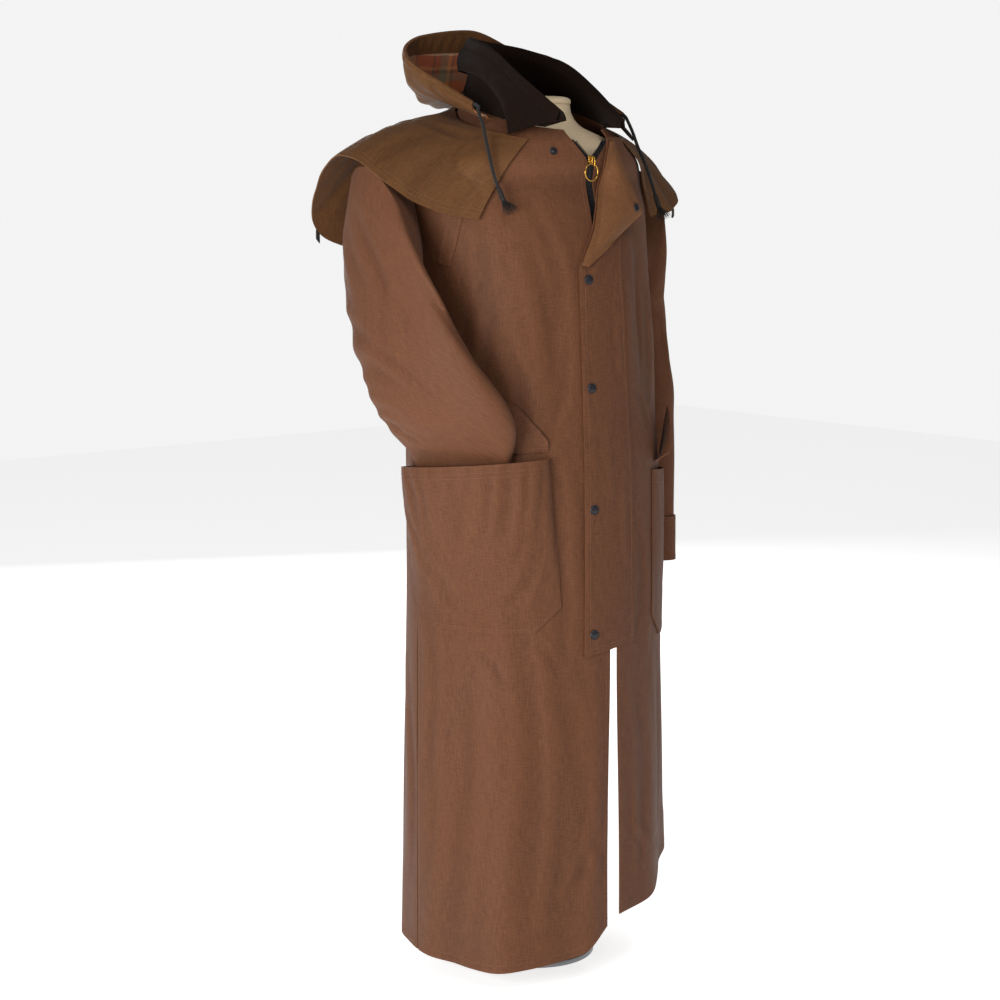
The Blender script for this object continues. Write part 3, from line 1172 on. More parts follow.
v, u = shares(230, 30)
flap_high = mix(FLAP_LOW, FLAP_TOP, v)
flap_angle = mix(read(FLAP, "free", flap_high), read(FLAP, "seam", flap_high), u)
flap_high = flap_high + 0.014 * u * (1 - v) ** 6
flap_grid = body_point(flap_angle, flap_high, FLAP_OUT + top_lap(flap_high))
FLAP_CREASES = (
    (10, 10, 16, 30, 6, 0.7), (84, 16, 80, 34, 7, 0.8), (20, 42, 14, 62, 6, 0.7),
    (88, 50, 84, 70, 7, 0.8), (30, 70, 60, 78, 7, 0.9), (50, 30, 54, 48, 8, 0.7),
)
sew("storm_flap", creased(flap_grid, FLAP_CREASES), CLOTH, CANVAS, "waxed_canvas", "folded")

# %% The lapel, with the flap's inner face out
LAPEL_TIP = np.array((0.086, -0.146, 1.158))
LAPEL_TIP_AT = 0.60


def lapel_point(along, across):
    height = mix(FLAP_TURN, FLAP_TOP, along)
    lift = FLAP_OUT + CLOTH - 0.0010 + top_lap(height)
    fold = body_point(read(FLAP, "free", height) + 0.3, height, lift)
    low = body_point(read(FLAP, "free", np.array(FLAP_TURN)), FLAP_TURN, FLAP_OUT + 0.005)
    top = body_point(read(FLAP, "free", np.array(FLAP_TOP)) + 2.0, FLAP_TOP, FLAP_OUT + 0.008)
    rising = (along / LAPEL_TIP_AT)[..., None]
    falling = ((along - LAPEL_TIP_AT) / (1 - LAPEL_TIP_AT))[..., None]
    edge = np.where(rising < 1.0, mix(low, LAPEL_TIP, rising), mix(LAPEL_TIP, top, falling))
    point = mix(fold, edge, across[..., None])
    point[..., 1] -= 0.010 * np.sin(math.pi * along) * np.sin(math.pi * across)
    return clear_of_body(point, mix(0.0084, 0.0100, np.minimum(3 * across, 1.0)))


v, u = shares(64, 32)
lapel_grid = lapel_point(mix(0.06, 0.97, v), u)
sew("lapel", lapel_grid, CLOTH, INNER_CANVAS, "waxed_canvas", "folded", "storm_flap_lapel")

# %% [markdown]
# ## Geometry Nodes for what repeats
# Stitches and zip teeth are hundreds of small equal pieces along a line. A node
# tree does that: it cuts the lines in equal steps, sets one small piece on each
# point, turned along the line and facing out of the cloth, and makes them real.
# The sizes are the tree's own inputs, and the seed of its unevenness is fixed.


# %% The tree of nodes
def row_tree(name, shape, settings):
    tree = bpy.data.node_groups.new(name, "GeometryNodeTree")
    for label, kind in (("Lines", "Geometry"), ("Pitch", "Float"), ("Long", "Float"),
                        ("Wide", "Float"), ("High", "Float"), ("Uneven", "Float"),
                        ("Seed", "Int"), ("Finish", "Material")):
        tree.interface.new_socket(label, in_out="INPUT", socket_type="NodeSocket" + kind)
    tree.interface.new_socket("Pieces", in_out="OUTPUT", socket_type="NodeSocketGeometry")
    given = add_node(tree, "NodeGroupInput").outputs
    curve = add_node(tree, "GeometryNodeMeshToCurve", Mesh=given["Lines"]).outputs[0]
    steps = add_node(tree, "GeometryNodeResampleCurve", {"mode": "LENGTH"}, Curve=curve,
                     Length=given["Pitch"]).outputs[0]
    facing = add_node(tree, "GeometryNodeInputNamedAttribute", {"data_type": "FLOAT_VECTOR"},
                      Name="facing").outputs["Attribute"]
    tangent = add_node(tree, "GeometryNodeInputTangent").outputs[0]
    along = add_node(tree, "FunctionNodeAlignRotationToVector", {"axis": "X"}, Vector=tangent)
    turned = add_node(tree, "FunctionNodeAlignRotationToVector", {"axis": "Z", "pivot_axis": "X"},
                      Rotation=along.outputs[0], Vector=facing)
    least, most = (add_node(tree, "ShaderNodeMath", {"operation": sign}, i0=1.0,
                            i1=given["Uneven"]).outputs[0] for sign in ("SUBTRACT", "ADD"))
    varied = add_node(tree, "FunctionNodeRandomValue", {"data_type": "FLOAT"}, i2=least, i3=most,
                      Seed=given["Seed"]).outputs[1]
    long = add_node(tree, "ShaderNodeMath", {"operation": "MULTIPLY"}, i0=given["Long"], i1=varied)
    size = add_node(tree, "ShaderNodeCombineXYZ", X=long.outputs[0], Y=given["Wide"],
                    Z=given["High"])
    piece = add_node(tree, shape, None, **settings).outputs[0]
    placed = add_node(tree, "GeometryNodeInstanceOnPoints", Points=steps, Instance=piece,
                      Rotation=turned.outputs[0], Scale=size.outputs[0]).outputs[0]
    real = add_node(tree, "GeometryNodeRealizeInstances", Geometry=placed).outputs[0]
    finished = add_node(tree, "GeometryNodeSetMaterial", Geometry=real, Material=given["Finish"])
    add_node(tree, "NodeGroupOutput", Pieces=finished.outputs[0])
    return tree


print("a tree takes lines in and gives small pieces out")


# %% A function that runs a tree on lines
def run_rows(name, slot, lines, tree, finish, **sizes):
    """Lines are pairs of points and facing directions; the result is a plain mesh."""
    mesh = bpy.data.meshes.new(name + "_lines")
    points, facing, edges = [], [], []
    for line, normals in lines:
        edges += [(len(points) + k, len(points) + k + 1) for k in range(len(line) - 1)]
        points += line.tolist()
        facing += normals.tolist()
    mesh.from_pydata(points, edges, [])
    mesh.attributes.new("facing", "FLOAT_VECTOR", "POINT").data.foreach_set("vector", np.ravel(facing))
    guide = add_object(name + "_lines", mesh)
    rows = guide.modifiers.new("rows", "NODES")
    rows.node_group = tree
    inputs = {item.name: item.identifier for item in tree.interface.items_tree
              if item.in_out == "INPUT"}
    rows[inputs["Finish"]] = finish
    for label, value in sizes.items():
        rows[inputs[label]] = value
    ready = guide.evaluated_get(bpy.context.evaluated_depsgraph_get())
    plain = bpy.data.meshes.new_from_object(ready)
    guide.modifiers.clear()
    bpy.data.objects.remove(guide)
    made = add_object(name, plain)
    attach(made, "coat")
    print(f"{name}: {len(lines)} lines, {len(plain.polygons)} faces")


TOOTH_ROW = row_tree("zip_tooth_row", "GeometryNodeMeshCube", {"Size": (1.0, 1.0, 1.0)})
STITCH_ROW = row_tree("stitch_row", "GeometryNodeMeshIcoSphere", {"Radius": 0.5, "Subdivisions": 1})

# %% [markdown]
# ## Zip
# The zip has chunky moulded teeth on two woven tapes. Below the slider the teeth
# mesh, above it the tapes part in a narrow V. The brass slider carries a small
# link, and a large ring hangs in the link. The link and the ring are the parts
# that swing, so they ride on their own bodies.

# %% Tapes and teeth
TAPE_WALL = 0.0014
TOOTH_PITCH = 0.0027
ZIP_LOW, ZIP_TOP = 0.527, 1.268


def tape_angle(side, height, u):
    edge = np.abs(front_edge(side, height))
    ring = read(BODY, "front", height)
    inner = np.maximum(edge - np.degrees(0.0085 / ring), np.degrees(0.0004 / ring))
    return side * mix(inner, edge + np.degrees(0.012 / ring), u)


tooth_lines = []
for side, word in ((-1, "right"), (1, "left")):
    v, u = shares(160, 8)
    high = mix(ZIP_LOW, ZIP_TOP, v)
    tape = body_point(tape_angle(side, high, u if side > 0 else 1 - u), high,
                      -CLOTH - LAP - top_lap(high), False)
    sew("zip_tape_" + word, tape, TAPE_WALL, TAPE, "zip_tape", "hung")
    row = np.arange(ZIP_LOW + 0.004 + (0.5 * TOOTH_PITCH if side > 0 else 0), ZIP_TOP - 0.004,
                    TOOTH_PITCH / 2)
    inward = np.degrees(0.0005 / read(BODY, "front", row))
    at = tape_angle(side, row, 0.0 * row) + side * inward
    tooth_lines.append((body_point(at, row, -CLOTH - LAP - top_lap(row) + 0.0003, False),
                        body_normal(at, row, False)))
run_rows("zip_teeth", "zip_tape", tooth_lines, TOOTH_ROW, TEETH, Pitch=TOOTH_PITCH, Long=0.0016,
         Wide=0.0042, High=0.0022, Uneven=0.0, Seed=3)


# %% Small metal shapes
def finish_piece(name, build, finish, body, node, smooth=40):
    """Turns a bmesh into a finished piece that stands for a CAD node."""
    mesh = bpy.data.meshes.new(name)
    bmesh.ops.recalc_face_normals(build, faces=build.faces)
    build.to_mesh(mesh)
    build.free()
    mesh.materials.append(finish)
    mesh.shade_smooth()
    mesh.set_sharp_from_angle(angle=math.radians(smooth))
    made = add_object(name, mesh)
    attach(made, body)
    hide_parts(node)
    return made


def rounded_block(build, size, round_off, place):
    """A block with rounded edges, moved to its place by a matrix."""
    corners = bmesh.ops.create_cube(build, size=1.0)["verts"]
    bmesh.ops.scale(build, vec=size, verts=corners)
    edges = list({edge for corner in corners for edge in corner.link_edges})
    done = bmesh.ops.bevel(build, geom=edges, offset=round_off, segments=3, profile=0.5,
                           affect="EDGES")
    verts = list({vert for face in done["faces"] for vert in face.verts})
    bmesh.ops.transform(build, matrix=place, verts=verts)


def wire_ring(build, centre, wide, tall, wire, edge_on, steps=72, sides=14):
    turn = np.linspace(0, 2 * math.pi, steps, endpoint=False)[:, None]
    spin = np.linspace(0, 2 * math.pi, sides, endpoint=False)[None, :]
    across = np.stack((np.cos(turn) * tall, np.sin(turn) * wide), -1)
    across = across / np.linalg.norm(across, axis=-1, keepdims=True)
    flat = wide * np.cos(turn) + across[..., 0] * wire * np.cos(spin)
    up = tall * np.sin(turn) + across[..., 1] * wire * np.cos(spin)
    deep = wire * np.sin(spin) + 0 * turn
    parts = (deep, flat, up) if edge_on else (flat, deep, up)
    points = (np.stack(parts, -1) + centre).reshape(-1, 3)
    verts = [build.verts.new(p) for p in points]
    for i in range(steps):
        for j in range(sides):
            k, m = (i + 1) % steps, (j + 1) % sides
            build.faces.new([verts[a] for a in (i * sides + j, i * sides + m,
                                                k * sides + m, k * sides + j)])


print("blocks and rings of wire ready")

# %% The slider with its link and ring
SLIDER_AT = Vector((0.0, -0.1229, 1.2366))
SLIDER_LEAN = Matrix.Rotation(-0.1538, 4, "X")
PULL_AT = np.array((0.0, -0.1306, 1.2396))
slider = bmesh.new()
rounded_block(slider, (0.0095, 0.0014, 0.0110), 0.0006,
              Matrix.Translation(SLIDER_AT + Vector((0, -0.0019, 0))) @ SLIDER_LEAN)
rounded_block(slider, (0.0088, 0.0034, 0.0090), 0.0012,
              Matrix.Translation(SLIDER_AT + Vector((0, 0.0004, 0))) @ SLIDER_LEAN)
rounded_block(slider, (0.0026, 0.0046, 0.0024), 0.0007,
              Matrix.Translation(SLIDER_AT + Vector((0, -0.0046, 0.0030))) @ SLIDER_LEAN)
finish_piece("brass_slider", slider, BRASS, "coat", "zip_slider")
link = bmesh.new()
wire_ring(link, PULL_AT - np.array((0, 0, 0.0066)), 0.0030, 0.0066, 0.0009, True, 48, 12)
finish_piece("brass_link", link, BRASS, "pull", "zip_pull")
ring = bmesh.new()
wire_ring(ring, np.array((-0.0040, PULL_AT[1], 1.22937 - math.sqrt(0.0124 ** 2 - 0.0040 ** 2))),
          0.0124, 0.0124, 0.0012, False)
finish_piece("brass_ring", ring, BRASS, "ring", "pull_ring")
print("brass slider, link and ring")

# %% [markdown]
# ## Snap buttons
# A snap cap is pressed from thin sheet: a low dome with a rolled rim and a small
# step. The stud has a raised post, and the socket in the lapel is a ring with a
# hole. All are turned shapes, so a profile spun about the axis makes them.


# %% Turned parts
def turned(build, profile, base, up, sides=32):
    """Spins (radius, height) pairs about an axis; the ends close on the axis."""
    up = Vector(up).normalized()
    along = up.cross(Vector((0, 0, 1))).normalized() if abs(up.z) < 0.9 else Vector((1, 0, 0))
    other = up.cross(along)
    rings = []
    for radius, height in profile:
        level = Vector(base) + up * height
        if radius < 1e-6:
            rings.append([build.verts.new(level)])
            continue
        rings.append([build.verts.new(level + (along * math.cos(2 * math.pi * i / sides)
                                               + other * math.sin(2 * math.pi * i / sides)) * radius)
                      for i in range(sides)])
    for low, high in zip(rings, rings[1:]):
        for i in range(sides):
            j = (i + 1) % sides
            loop = [low[i % len(low)], low[j % len(low)], high[j % len(high)], high[i % len(high)]]
            build.faces.new(list(dict.fromkeys(loop)))


CAP_PROFILE = ((0.0, 0.0), (0.0066, 0.0), (0.0072, 0.0004), (0.0072, 0.0011), (0.0067, 0.0016),
               (0.0061, 0.0015), (0.0058, 0.0013), (0.0054, 0.0017), (0.0040, 0.0022),
               (0.0022, 0.0025), (0.0, 0.0026))
STUD_PROFILE = ((0.0, 0.0), (0.0054, 0.0), (0.0058, 0.0004), (0.0057, 0.0009), (0.0048, 0.0011),
                (0.0026, 0.0010), (0.0022, 0.0014), (0.0025, 0.0024), (0.0020, 0.0029), (0.0, 0.0030))
SOCKET_PROFILE = ((0.0, 0.0), (0.0056, 0.0), (0.0060, 0.0004), (0.0058, 0.0012), (0.0048, 0.0019),
                  (0.0034, 0.0020), (0.0028, 0.0014), (0.0026, 0.0008), (0.0, 0.0007))
def turned_piece(name, node, profile, base, up, finish=ENAMEL, sides=32):
    build = bmesh.new()
    turned(build, profile, base, up, sides)
    finish_piece(name, build, finish, "coat", node, 30)


for number, height in enumerate((1.062, 0.905, 0.727, 0.541), start=1):
    at = read(FLAP, "free", np.array(height)) + 4.3
    turned_piece(f"snap_button_{number}", f"snap_cap_{number}", CAP_PROFILE,
                 body_point(at, height, FLAP_OUT + SEAM, False),
                 body_normal(at, np.array(height), False))
turned_piece("snap_stud_turned", "snap_stud", STUD_PROFILE, body_point(-21.0, 1.248, SEAM, False),
             body_normal(np.array(-21.0), np.array(1.248), False))
turned_piece("snap_socket_turned", "snap_socket", SOCKET_PROFILE, (0.0704, -0.1479, 1.1660),
             (0.1517, -0.9739, 0.1687))
print("snaps: four caps, a stud and a socket")

# %% [markdown]
# ## Pockets, flaps and small straps
# Bellows pockets are patches sewn on three sides with their mouths left open. The
# right one bulges, because the sleeve's end is tucked in. Their flaps are cut off
# at the front corner. Narrow bands are sewn slantwise before the armholes.

# %% Pockets
LEFT_DROP = 0.034        # the left pocket and its flap hang lower
POCKET_CREASES_RIGHT = (
    (20, 98, 26, 66, 9, -2.2), (34, 99, 37, 58, 11, 2.2), (48, 98, 46, 50, 12, -2.6),
    (62, 99, 56, 60, 11, 2.0), (76, 97, 68, 56, 10, -2.4), (88, 96, 82, 62, 8, 1.8),
    (12, 70, 22, 36, 9, 1.6), (84, 46, 70, 20, 10, -1.8), (30, 40, 40, 14, 11, -1.6),
)
POCKET_CREASES_LEFT = (
    (16, 94, 22, 60, 9, -1.5), (40, 96, 44, 50, 11, 1.6), (66, 95, 60, 48, 10, -1.7),
    (84, 80, 76, 40, 9, 1.3), (26, 42, 40, 14, 10, -1.3),
)
for side, word, bulge, drop, creases in ((-1, "right", 0.038, 0.0, POCKET_CREASES_RIGHT),
                                         (1, "left", 0.006, LEFT_DROP, POCKET_CREASES_LEFT)):
    v, u = shares(90, 110)
    u = u if side > 0 else 1 - u
    front, rear = mix(26.0, 30.0, v), mix(107.0, 109.0, v)
    cut = np.maximum(0.038 - np.minimum(u, 1 - u) * np.radians(rear - front) * FOLD_RADIUS, 0.0)
    high = mix(0.548 + cut, mix(0.806, 0.781, u), v) - drop
    round_out = np.sin(math.pi * np.clip((u - 0.01) / 0.98, 0, 1)) ** 0.4
    out = CLOTH + LAP + bulge * round_out * ramp(v, 0.05, 1.0) ** 0.9
    pocket = body_point(side * mix(front, rear, u), high, out)
    sew("pocket_" + word, creased(pocket, creases), CLOTH, CANVAS, "waxed_canvas", "hung")

# %% Pocket flaps and chest bands
BAND_WALL = 0.0012
for side, word, stand, start, drop in ((-1, "right", 0.003, 31.0, 0.0),
                                       (1, "left", 0.024, 34.0, LEFT_DROP)):
    v, u = shares(36, 48)
    u = u if side > 0 else 1 - u
    high = mix(0.812 + 0.004 * (1 - u), 0.892 - 0.062 * (1 - u) ** 1.6, v) - drop
    out = CLOTH + LAP + stand * v * (1 - 0.25 * u)
    sew("pocket_flap_" + word, body_point(side * mix(start, start + 20.0, u), high, out), CLOTH,
        CANVAS, "waxed_canvas", "folded")
    v, u = shares(30, 12)
    u = u if side > 0 else 1 - u
    high = mix(1.085, 1.185, v)
    band = body_point(side * (mix(73.0, 59.0, v) + mix(-3.6, 3.6, u)), high + 0.004 * (u - 0.5),
                      BAND_WALL + LAP)
    sew("chest_band_" + word, band, BAND_WALL, CANVAS, "waxed_canvas", "laid")

# %% Keeper straps under the cape's corners
KEEPER_WALL = 0.0016
for side, word, at, long, flare in ((-1, "right", 136.0, 0.014, 0.0),
                                    (1, "left", 66.0, 0.012, LEFT_FLARE)):
    v, u = shares(10, 8)
    u = u if side > 0 else 1 - u
    strap = cape_point(side, at + 2.4 * u, 1.0 + 0 * u, flare)
    strap[..., 2] -= SEAM + 0.0008 + long * (1 - v)
    sew("keeper_" + word, strap, KEEPER_WALL, BRAID, "cord", "hung")

# %% [markdown]
# ## Drawcords
# Two braided cords leave the hood's casing and hang over the shoulders. Each is
# a fixed length of soft braid, so it is a tube along a measured route. At the free
# end the braid is bound with a few turns and then frays: single strands that all
# start in the bound head.

# %% Cord routes and tubes
CORD_ROUTES = {
    "right": (
        (-0.1280, -0.0118, 1.3164), (-0.1282, -0.0207, 1.3129), (-0.1346, -0.0282, 1.3058),
        (-0.1383, -0.0371, 1.2983), (-0.1415, -0.0458, 1.2903), (-0.1450, -0.0534, 1.2814),
        (-0.1485, -0.0604, 1.2721), (-0.1515, -0.0671, 1.2623), (-0.1539, -0.0734, 1.2522),
        (-0.1558, -0.0792, 1.2416), (-0.1568, -0.0843, 1.2306), (-0.1562, -0.0879, 1.2189),
        (-0.1548, -0.0915, 1.2074), (-0.1520, -0.0950, 1.1960),
    ),
    "left": (
        (0.1344, -0.0495, 1.3041), (0.1340, -0.0572, 1.2986), (0.1375, -0.0612, 1.2875),
        (0.1407, -0.0649, 1.2762), (0.1431, -0.0684, 1.2646), (0.1458, -0.0720, 1.2531),
        (0.1491, -0.0760, 1.2419), (0.1523, -0.0798, 1.2307), (0.1551, -0.0831, 1.2191),
        (0.1577, -0.0861, 1.2075), (0.1602, -0.0891, 1.1958), (0.1625, -0.0920, 1.1840),
    ),
}
CORD_RADIUS = 0.0025


print("points along the routes:", len(CORD_ROUTES["right"]), len(CORD_ROUTES["left"]))


# %% A tube along a route
def smooth_route(points, steps):
    points = np.array(points)
    far = np.concatenate(((0.0,), np.cumsum(np.linalg.norm(np.diff(points, axis=0), axis=1))))
    marks = table(("at", "x", "y", "z"), np.column_stack((far, points)))
    at = np.linspace(0.0, far[-1], steps)
    return np.stack([read(marks, axis, at) for axis in "xyz"], -1)


def tube(name, route, radii, finish, sides=16):
    """A closed round tube along points, with its own UV: round it, and along it."""
    along = unit(np.gradient(route, axis=0))
    across = unit(np.cross(along, np.array((0.0, 1.0, 0.2))))
    other = np.cross(along, across)
    turn = 2 * math.pi * np.arange(sides) / sides
    rings = (route[:, None] + (across[:, None] * np.cos(turn)[None, :, None]
                               + other[:, None] * np.sin(turn)[None, :, None]) * radii[:, None, None])
    count = len(route)
    faces, uvs = [], []
    far = np.concatenate(((0.0,), np.cumsum(np.linalg.norm(np.diff(route, axis=0), axis=1))))
    for k in range(count - 1):
        for i in range(sides):
            j = (i + 1) % sides
            faces.append((k * sides + i, k * sides + j, (k + 1) * sides + j, (k + 1) * sides + i))
            low, high = i * 0.001, (i + 1) * 0.001
            uvs += [(low, far[k]), (high, far[k]), (high, far[k + 1]), (low, far[k + 1])]
    for ring in (range(sides - 1, -1, -1), range((count - 1) * sides, count * sides)):
        faces.append(tuple(ring))
        uvs += [(0.0, 0.0)] * sides
    mesh = bpy.data.meshes.new(name)
    mesh.from_pydata(rings.reshape(-1, 3).tolist(), [], faces)
    mesh.uv_layers.new(name="cloth").data.foreach_set("uv", np.ravel(uvs))
    mesh.materials.append(finish)
    mesh.shade_smooth()
    return add_object(name, mesh)


print(f"cord {2 * CORD_RADIUS * 1000:.0f} mm thick")


# %% A bound end that frays
def frayed_end(name, route, lean, strands=90):
    """The bound knot and its strands, each strand's root inside the knot's head."""
    along = unit(route[-1] - route[-2])
    start = route[-1] + along * SEAM
    across = unit(np.cross(along, np.array((0.0, 1.0, 0.0))))
    other = np.cross(along, across)
    build = bmesh.new()
    profile = [(0.0, 0.0), (0.0024, 0.0), (0.0036, 0.0010)]
    for turn in range(6):
        far = 0.0018 + 0.0022 * turn
        swell = 0.0042 - 0.0001 * (turn % 3)
        profile += [(swell - 0.0004, far - 0.0006), (swell, far), (swell - 0.0003, far + 0.0008)]
    profile += [(0.0036, 0.0148), (0.0044, 0.0160), (0.0040, 0.0180), (0.0034, 0.0205), (0.0, 0.0210)]
    turned(build, profile, start, along, 20)
    for k in range(strands):
        reach = 0.0029 * math.sqrt((k + 0.5) / strands)
        turn = 2.399963 * k
        way = across * math.cos(turn) + other * math.sin(turn)
        long = 0.0120 + 0.0070 * (0.5 + 0.5 * math.sin(5.1 * k))
        root = start + along * 0.0196 + way * reach
        tip = start + along * (0.0205 + long) + way * (reach + 0.0085 * (reach / 0.0029) ** 0.8) + lean
        curl = other * 0.0034 * math.sin(3.7 * k) + across * 0.0028 * math.cos(2.3 * k)
        last = None
        for step in range(5):
            f = step / 4
            spot = mix(root, tip, f) + curl * math.sin(math.pi * f * 0.9) * f
            size = mix(0.00036, 0.00016, f)
            here = [build.verts.new(spot + (across * math.cos(a) + other * math.sin(a)) * size)
                    for a in (0.0, 2.1, 4.2)]
            if last:
                for i in range(3):
                    build.faces.new((last[i], last[(i + 1) % 3], here[(i + 1) % 3], here[i]))
            else:
                build.faces.new(here[::-1])
            last = here
        build.faces.new(last)
    return finish_piece(name, build, FRAY, "coat", name.replace("frayed_", ""), 50)


print("strands start inside the bound head, so nothing floats")

# %% The two drawcords
for word, lean in (("right", (0.005, -0.003, 0.0)), ("left", (0.003, -0.003, 0.0))):
    route = smooth_route(CORD_ROUTES[word], 72)
    long = float(np.linalg.norm(np.diff(route, axis=0), axis=1).sum())
    made = tube("braid_drawcord_" + word, route, np.full(72, CORD_RADIUS), BRAID)
    end = frayed_end("frayed_cord_end_" + word, route, np.array(lean))
    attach(made, "coat")
    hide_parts("drawcord_" + word)
    print(f"drawcord {word}: {long * 1000:.0f} mm and a bound, frayed end")

# %% [markdown]
# ## Dress form
# A dress form holds the coat: a torso without arms or head, covered in cream
# jersey, on a steel pole with a round base. Only its neck shows inside the collar.
# It follows the coat's own rings, moved in: a little at the shoulders, where the
# coat rests on it, and more below, where the cloth hangs clear.


# %% A closed body from rings
def lofted(name, rings, finish, node):
    """Joins rings of points to one closed body, with UV in metres."""
    count, sides = rings.shape[:2]
    faces = [(k * sides + i, k * sides + (i + 1) % sides, (k + 1) * sides + (i + 1) % sides,
              (k + 1) * sides + i) for k in range(count - 1) for i in range(sides)]
    u, v = spacing(rings, True)
    flat = np.stack((u, v), -1).reshape(-1, 2)
    wide = sides + 1
    corners = [(k * wide + i, k * wide + i + 1, (k + 1) * wide + i + 1, (k + 1) * wide + i)
               for k in range(count - 1) for i in range(sides)]
    faces += [tuple(range(sides - 1, -1, -1)), tuple(range((count - 1) * sides, count * sides))]
    mesh = bpy.data.meshes.new(name)
    mesh.from_pydata(rings.reshape(-1, 3).tolist(), [], faces)
    uvs = np.concatenate((flat[np.ravel(corners)], rings[0][::-1, :2], rings[-1][:, :2]))
    mesh.uv_layers.new(name="cloth").data.foreach_set("uv", uvs.ravel())
    mesh.materials.append(finish)
    mesh.shade_smooth()
    mesh.set_sharp_from_angle(angle=math.radians(50))
    made = add_object(name, mesh)
    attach(made, "coat")
    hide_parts(node)


print("closed bodies can be lofted from rings")

# %% The form's rings
FORM = table(("at", "inset", "shrink"), (
    (0.74, 0.030, 0.80), (0.76, 0.026, 0.87), (0.80, 0.022, 0.90), (0.88, 0.020, 0.90),
    (0.97, 0.017, 0.93), (1.04, 0.014, 0.95), (1.11, 0.010, 0.97), (1.16, 0.007, 0.985),
    (1.19, 0.005, 1.0), (1.26, 0.005, 1.0),
))
NECK_Y = 0.014
FORM_TURNS = np.linspace(0, 360, 96, endpoint=False)


def form_ring(height):
    inset, shrink = float(read(FORM, "inset", height)), float(read(FORM, "shrink", height))
    behind_zip = 0.012 * np.exp(-(turn_between(FORM_TURNS, 0.0) / 22.0) ** 2)
    spot = body_point(FORM_TURNS, height, -inset - behind_zip, False)
    spot[:, 2] = mix(height, spot[:, 2], float(ramp(height, 1.16, 1.19)))
    middle = np.stack((0 * FORM_TURNS, read(BODY, "centre_y", height) + 0 * FORM_TURNS, spot[:, 2]), -1)
    return mix(middle, spot, shrink)


def round_ring(height, radius, centre_y):
    turn = np.radians(FORM_TURNS)
    return np.stack((radius * np.sin(turn), centre_y - radius * np.cos(turn), height + 0 * turn), -1)


body_rings = [form_ring(height) for height in np.linspace(0.74, 1.26, 70)]
neck_rings = [round_ring(height, radius, NECK_Y) for height, radius in
              ((1.283, 0.082), (1.289, 0.0740), (1.296, 0.0680), (1.306, 0.0630), (1.318, 0.0610))]
slope = [mix(body_rings[-1], neck_rings[0], share) for share in (0.33, 0.67)]
lofted("jersey_form", np.array(body_rings + slope + neck_rings), JERSEY, "form_body")
cap_rings = [round_ring(height, radius, NECK_Y) for height, radius in
             ((1.3183, 0.0610), (1.3188, 0.0618), (1.3210, 0.0624), (1.3240, 0.0625), (1.3265, 0.0610),
              (1.3282, 0.0580), (1.3294, 0.0540), (1.3300, 0.0490))]
lofted("jersey_neck_cap", np.array(cap_rings), JERSEY, "form_neck_cap")

print("form: body of", len(body_rings + slope + neck_rings), "rings, and a neck cap")

# %% Steel pole and base
POLE_PROFILE = ((0.0, 0.0123), (0.0118, 0.0123), (0.0120, 0.0126), (0.0120, 0.6400),
                (0.0119, 0.6404), (0.0119, 0.6430), (0.0120, 0.6434), (0.0120, 0.7395),
                (0.0118, 0.7397), (0.0, 0.7397))
BASE_PROFILE = ((0.0, 0.0), (0.0940, 0.0), (0.0950, 0.0010), (0.0950, 0.0066), (0.0944, 0.0080),
                (0.0890, 0.0116), (0.0870, 0.0120), (0.0, 0.0120))
for name, node, profile, sides in (("steel_pole", "form_pole", POLE_PROFILE, 48),
                                   ("steel_base", "form_base", BASE_PROFILE, 96)):
    turned_piece(name, node, profile, (0, 0, 0), (0, 0, 1), STEEL, sides)
print("steel pole and base")

# %% [markdown]
# ## Topstitching
# Nearly every edge of such a coat is turned in and topstitched. The stitches run
# at a set distance from an edge, so each line is read from the sheet's own grid:
# walk in from the edge by that distance, and take the point and its facing there.


# %% Stitch lines along the edges of the sheets
THREAD_LIFT = 0.00012    # the thread lies this far above the cloth


def line_at(sheet, edge, inset):
    """A stitch line at this distance from a sheet's edge, with the facing of each point."""
    grid, around = PIECES["cloth_" + sheet]
    normals = grid_normals(grid, around)
    if around:
        grid = np.concatenate((grid, grid[:, :1]), 1)
        normals = np.concatenate((normals, normals[:, :1]), 1)
    if edge in ("first", "last"):
        grid, normals = grid.transpose(1, 0, 2), normals.transpose(1, 0, 2)
    if edge in ("high", "last"):
        grid, normals = grid[::-1], normals[::-1]
    rises = np.linalg.norm(np.diff(grid, axis=0), axis=-1)
    far = np.concatenate((np.zeros((1, grid.shape[1])), np.cumsum(rises, 0)), 0)
    line, facing = [], []
    for c in range(grid.shape[1]):
        k = min(int(np.searchsorted(far[:, c], inset)), len(grid) - 1)
        f = (inset - far[k - 1, c]) / max(far[k, c] - far[k - 1, c], 1e-9)
        line.append(mix(grid[k - 1, c], grid[k, c], min(f, 1.0)))
        facing.append(unit(mix(normals[k - 1, c], normals[k, c], min(f, 1.0))))
    line, facing = np.array(line), np.array(facing)
    return line + facing * THREAD_LIFT, facing


print("stitch lines can be read from any sheet's edge")

# %% The stitches
STITCH = dict(Pitch=0.0036, Long=0.0028, Wide=0.0009, High=0.0006, Uneven=0.12)
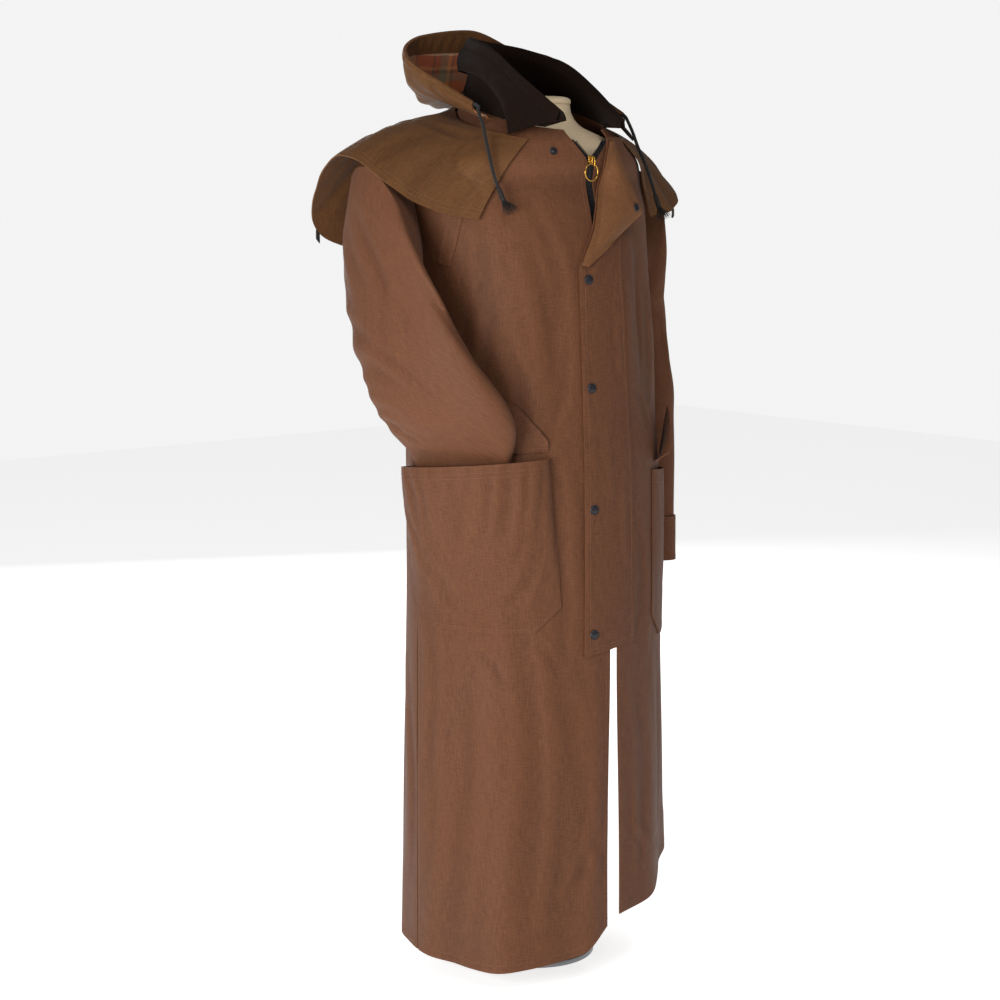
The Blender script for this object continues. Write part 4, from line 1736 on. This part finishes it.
# Each sheet with its stitched edges, and the distance from the edge in mm
BODY_LINES = (
    ("front_right", "low 12"), ("front_left", "low 12"), ("back", "low 12"),
    ("front_right", "last 8 first 6"), ("front_left", "last 6"),
    ("back", "first 7 last 7 first 13 last 13"), ("storm_flap", "first 9 last 4 low 9"),
    ("pocket_right", "first 6 last 6 low 6 high 11 high 18"),
    ("pocket_left", "first 6 last 6 low 6 high 11 high 18"),
    ("pocket_flap_right", "first 6 last 6 low 5 high 6"),
    ("pocket_flap_left", "first 6 last 6 low 5 high 6"), ("cuff_left", "low 6 high 6"),
    ("sleeve_right", "high 10"), ("sleeve_left", "high 10"), ("chest_band_right", "first 4 last 4"),
    ("chest_band_left", "first 4 last 4"),
)
TAN_LINES = (
    ("cape_front_right", "low 8 low 15"), ("cape_front_left", "low 8 low 15"),
    ("cape_back", "low 8 low 15"), ("cape_front_right", "first 6 last 6"),
    ("cape_front_left", "first 6 last 6"), ("cape_back", "first 6 last 6"),
    ("hood_casing", "low 3"), ("hood", "high 4"), ("lapel", "last 8"),
)
COLLAR_LINES = (("collar", "high 8"),)
for name, slot, sheets, thread, seed in (
    ("stitches_body", "waxed_canvas", BODY_LINES, THREAD, 11),
    ("stitches_cape_and_hood", "waxed_canvas", TAN_LINES, TAN_THREAD, 12),
    ("stitches_collar", "corduroy", COLLAR_LINES, DARK_THREAD, 13),
):
    lines = []
    for sheet, words in sheets:
        words = words.split()
        for edge, inset in zip(words[::2], words[1::2]):
            lines.append(line_at(sheet, edge, float(inset) * MM))
    run_rows(name, slot, lines, STITCH_ROW, thread, Seed=seed, **STITCH)

# %% [markdown]
# ## Floor and close
# A large pale floor takes the soft shadow. It isn't part of the coat. Last, the
# sizes of the CAD and of the dressed model are written down side by side.

# %% Floor, sizes, finish
floor_mesh = bpy.data.meshes.new("studio_floor")
floor_mesh.from_pydata([(-6, -6, 0), (6, -6, 0), (6, 6, 0), (-6, 6, 0)], [], [(0, 1, 2, 3)])
paint, tree, shader, spot = new_material("matt_studio_paint")
mottle = add_node(tree, "ShaderNodeTexNoise", Vector=spot, Scale=1.5, Detail=3.0).outputs["Fac"]
tone = add_node(tree, "ShaderNodeMix", TONES, i0=mottle, i6=colour("f4f4f3"), i7=colour("fafaf9"))
fill(tree, shader, Base_Color=tone.outputs[2], Roughness=0.85,
     Emission_Color=(1.0, 1.0, 1.0, 1.0), Emission_Strength=0.72)
floor_mesh.materials.append(paint)
add_object("studio_floor", floor_mesh)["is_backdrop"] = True
low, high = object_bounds()
print("dressed box", [round(x, 4) for x in (*low, *high)])
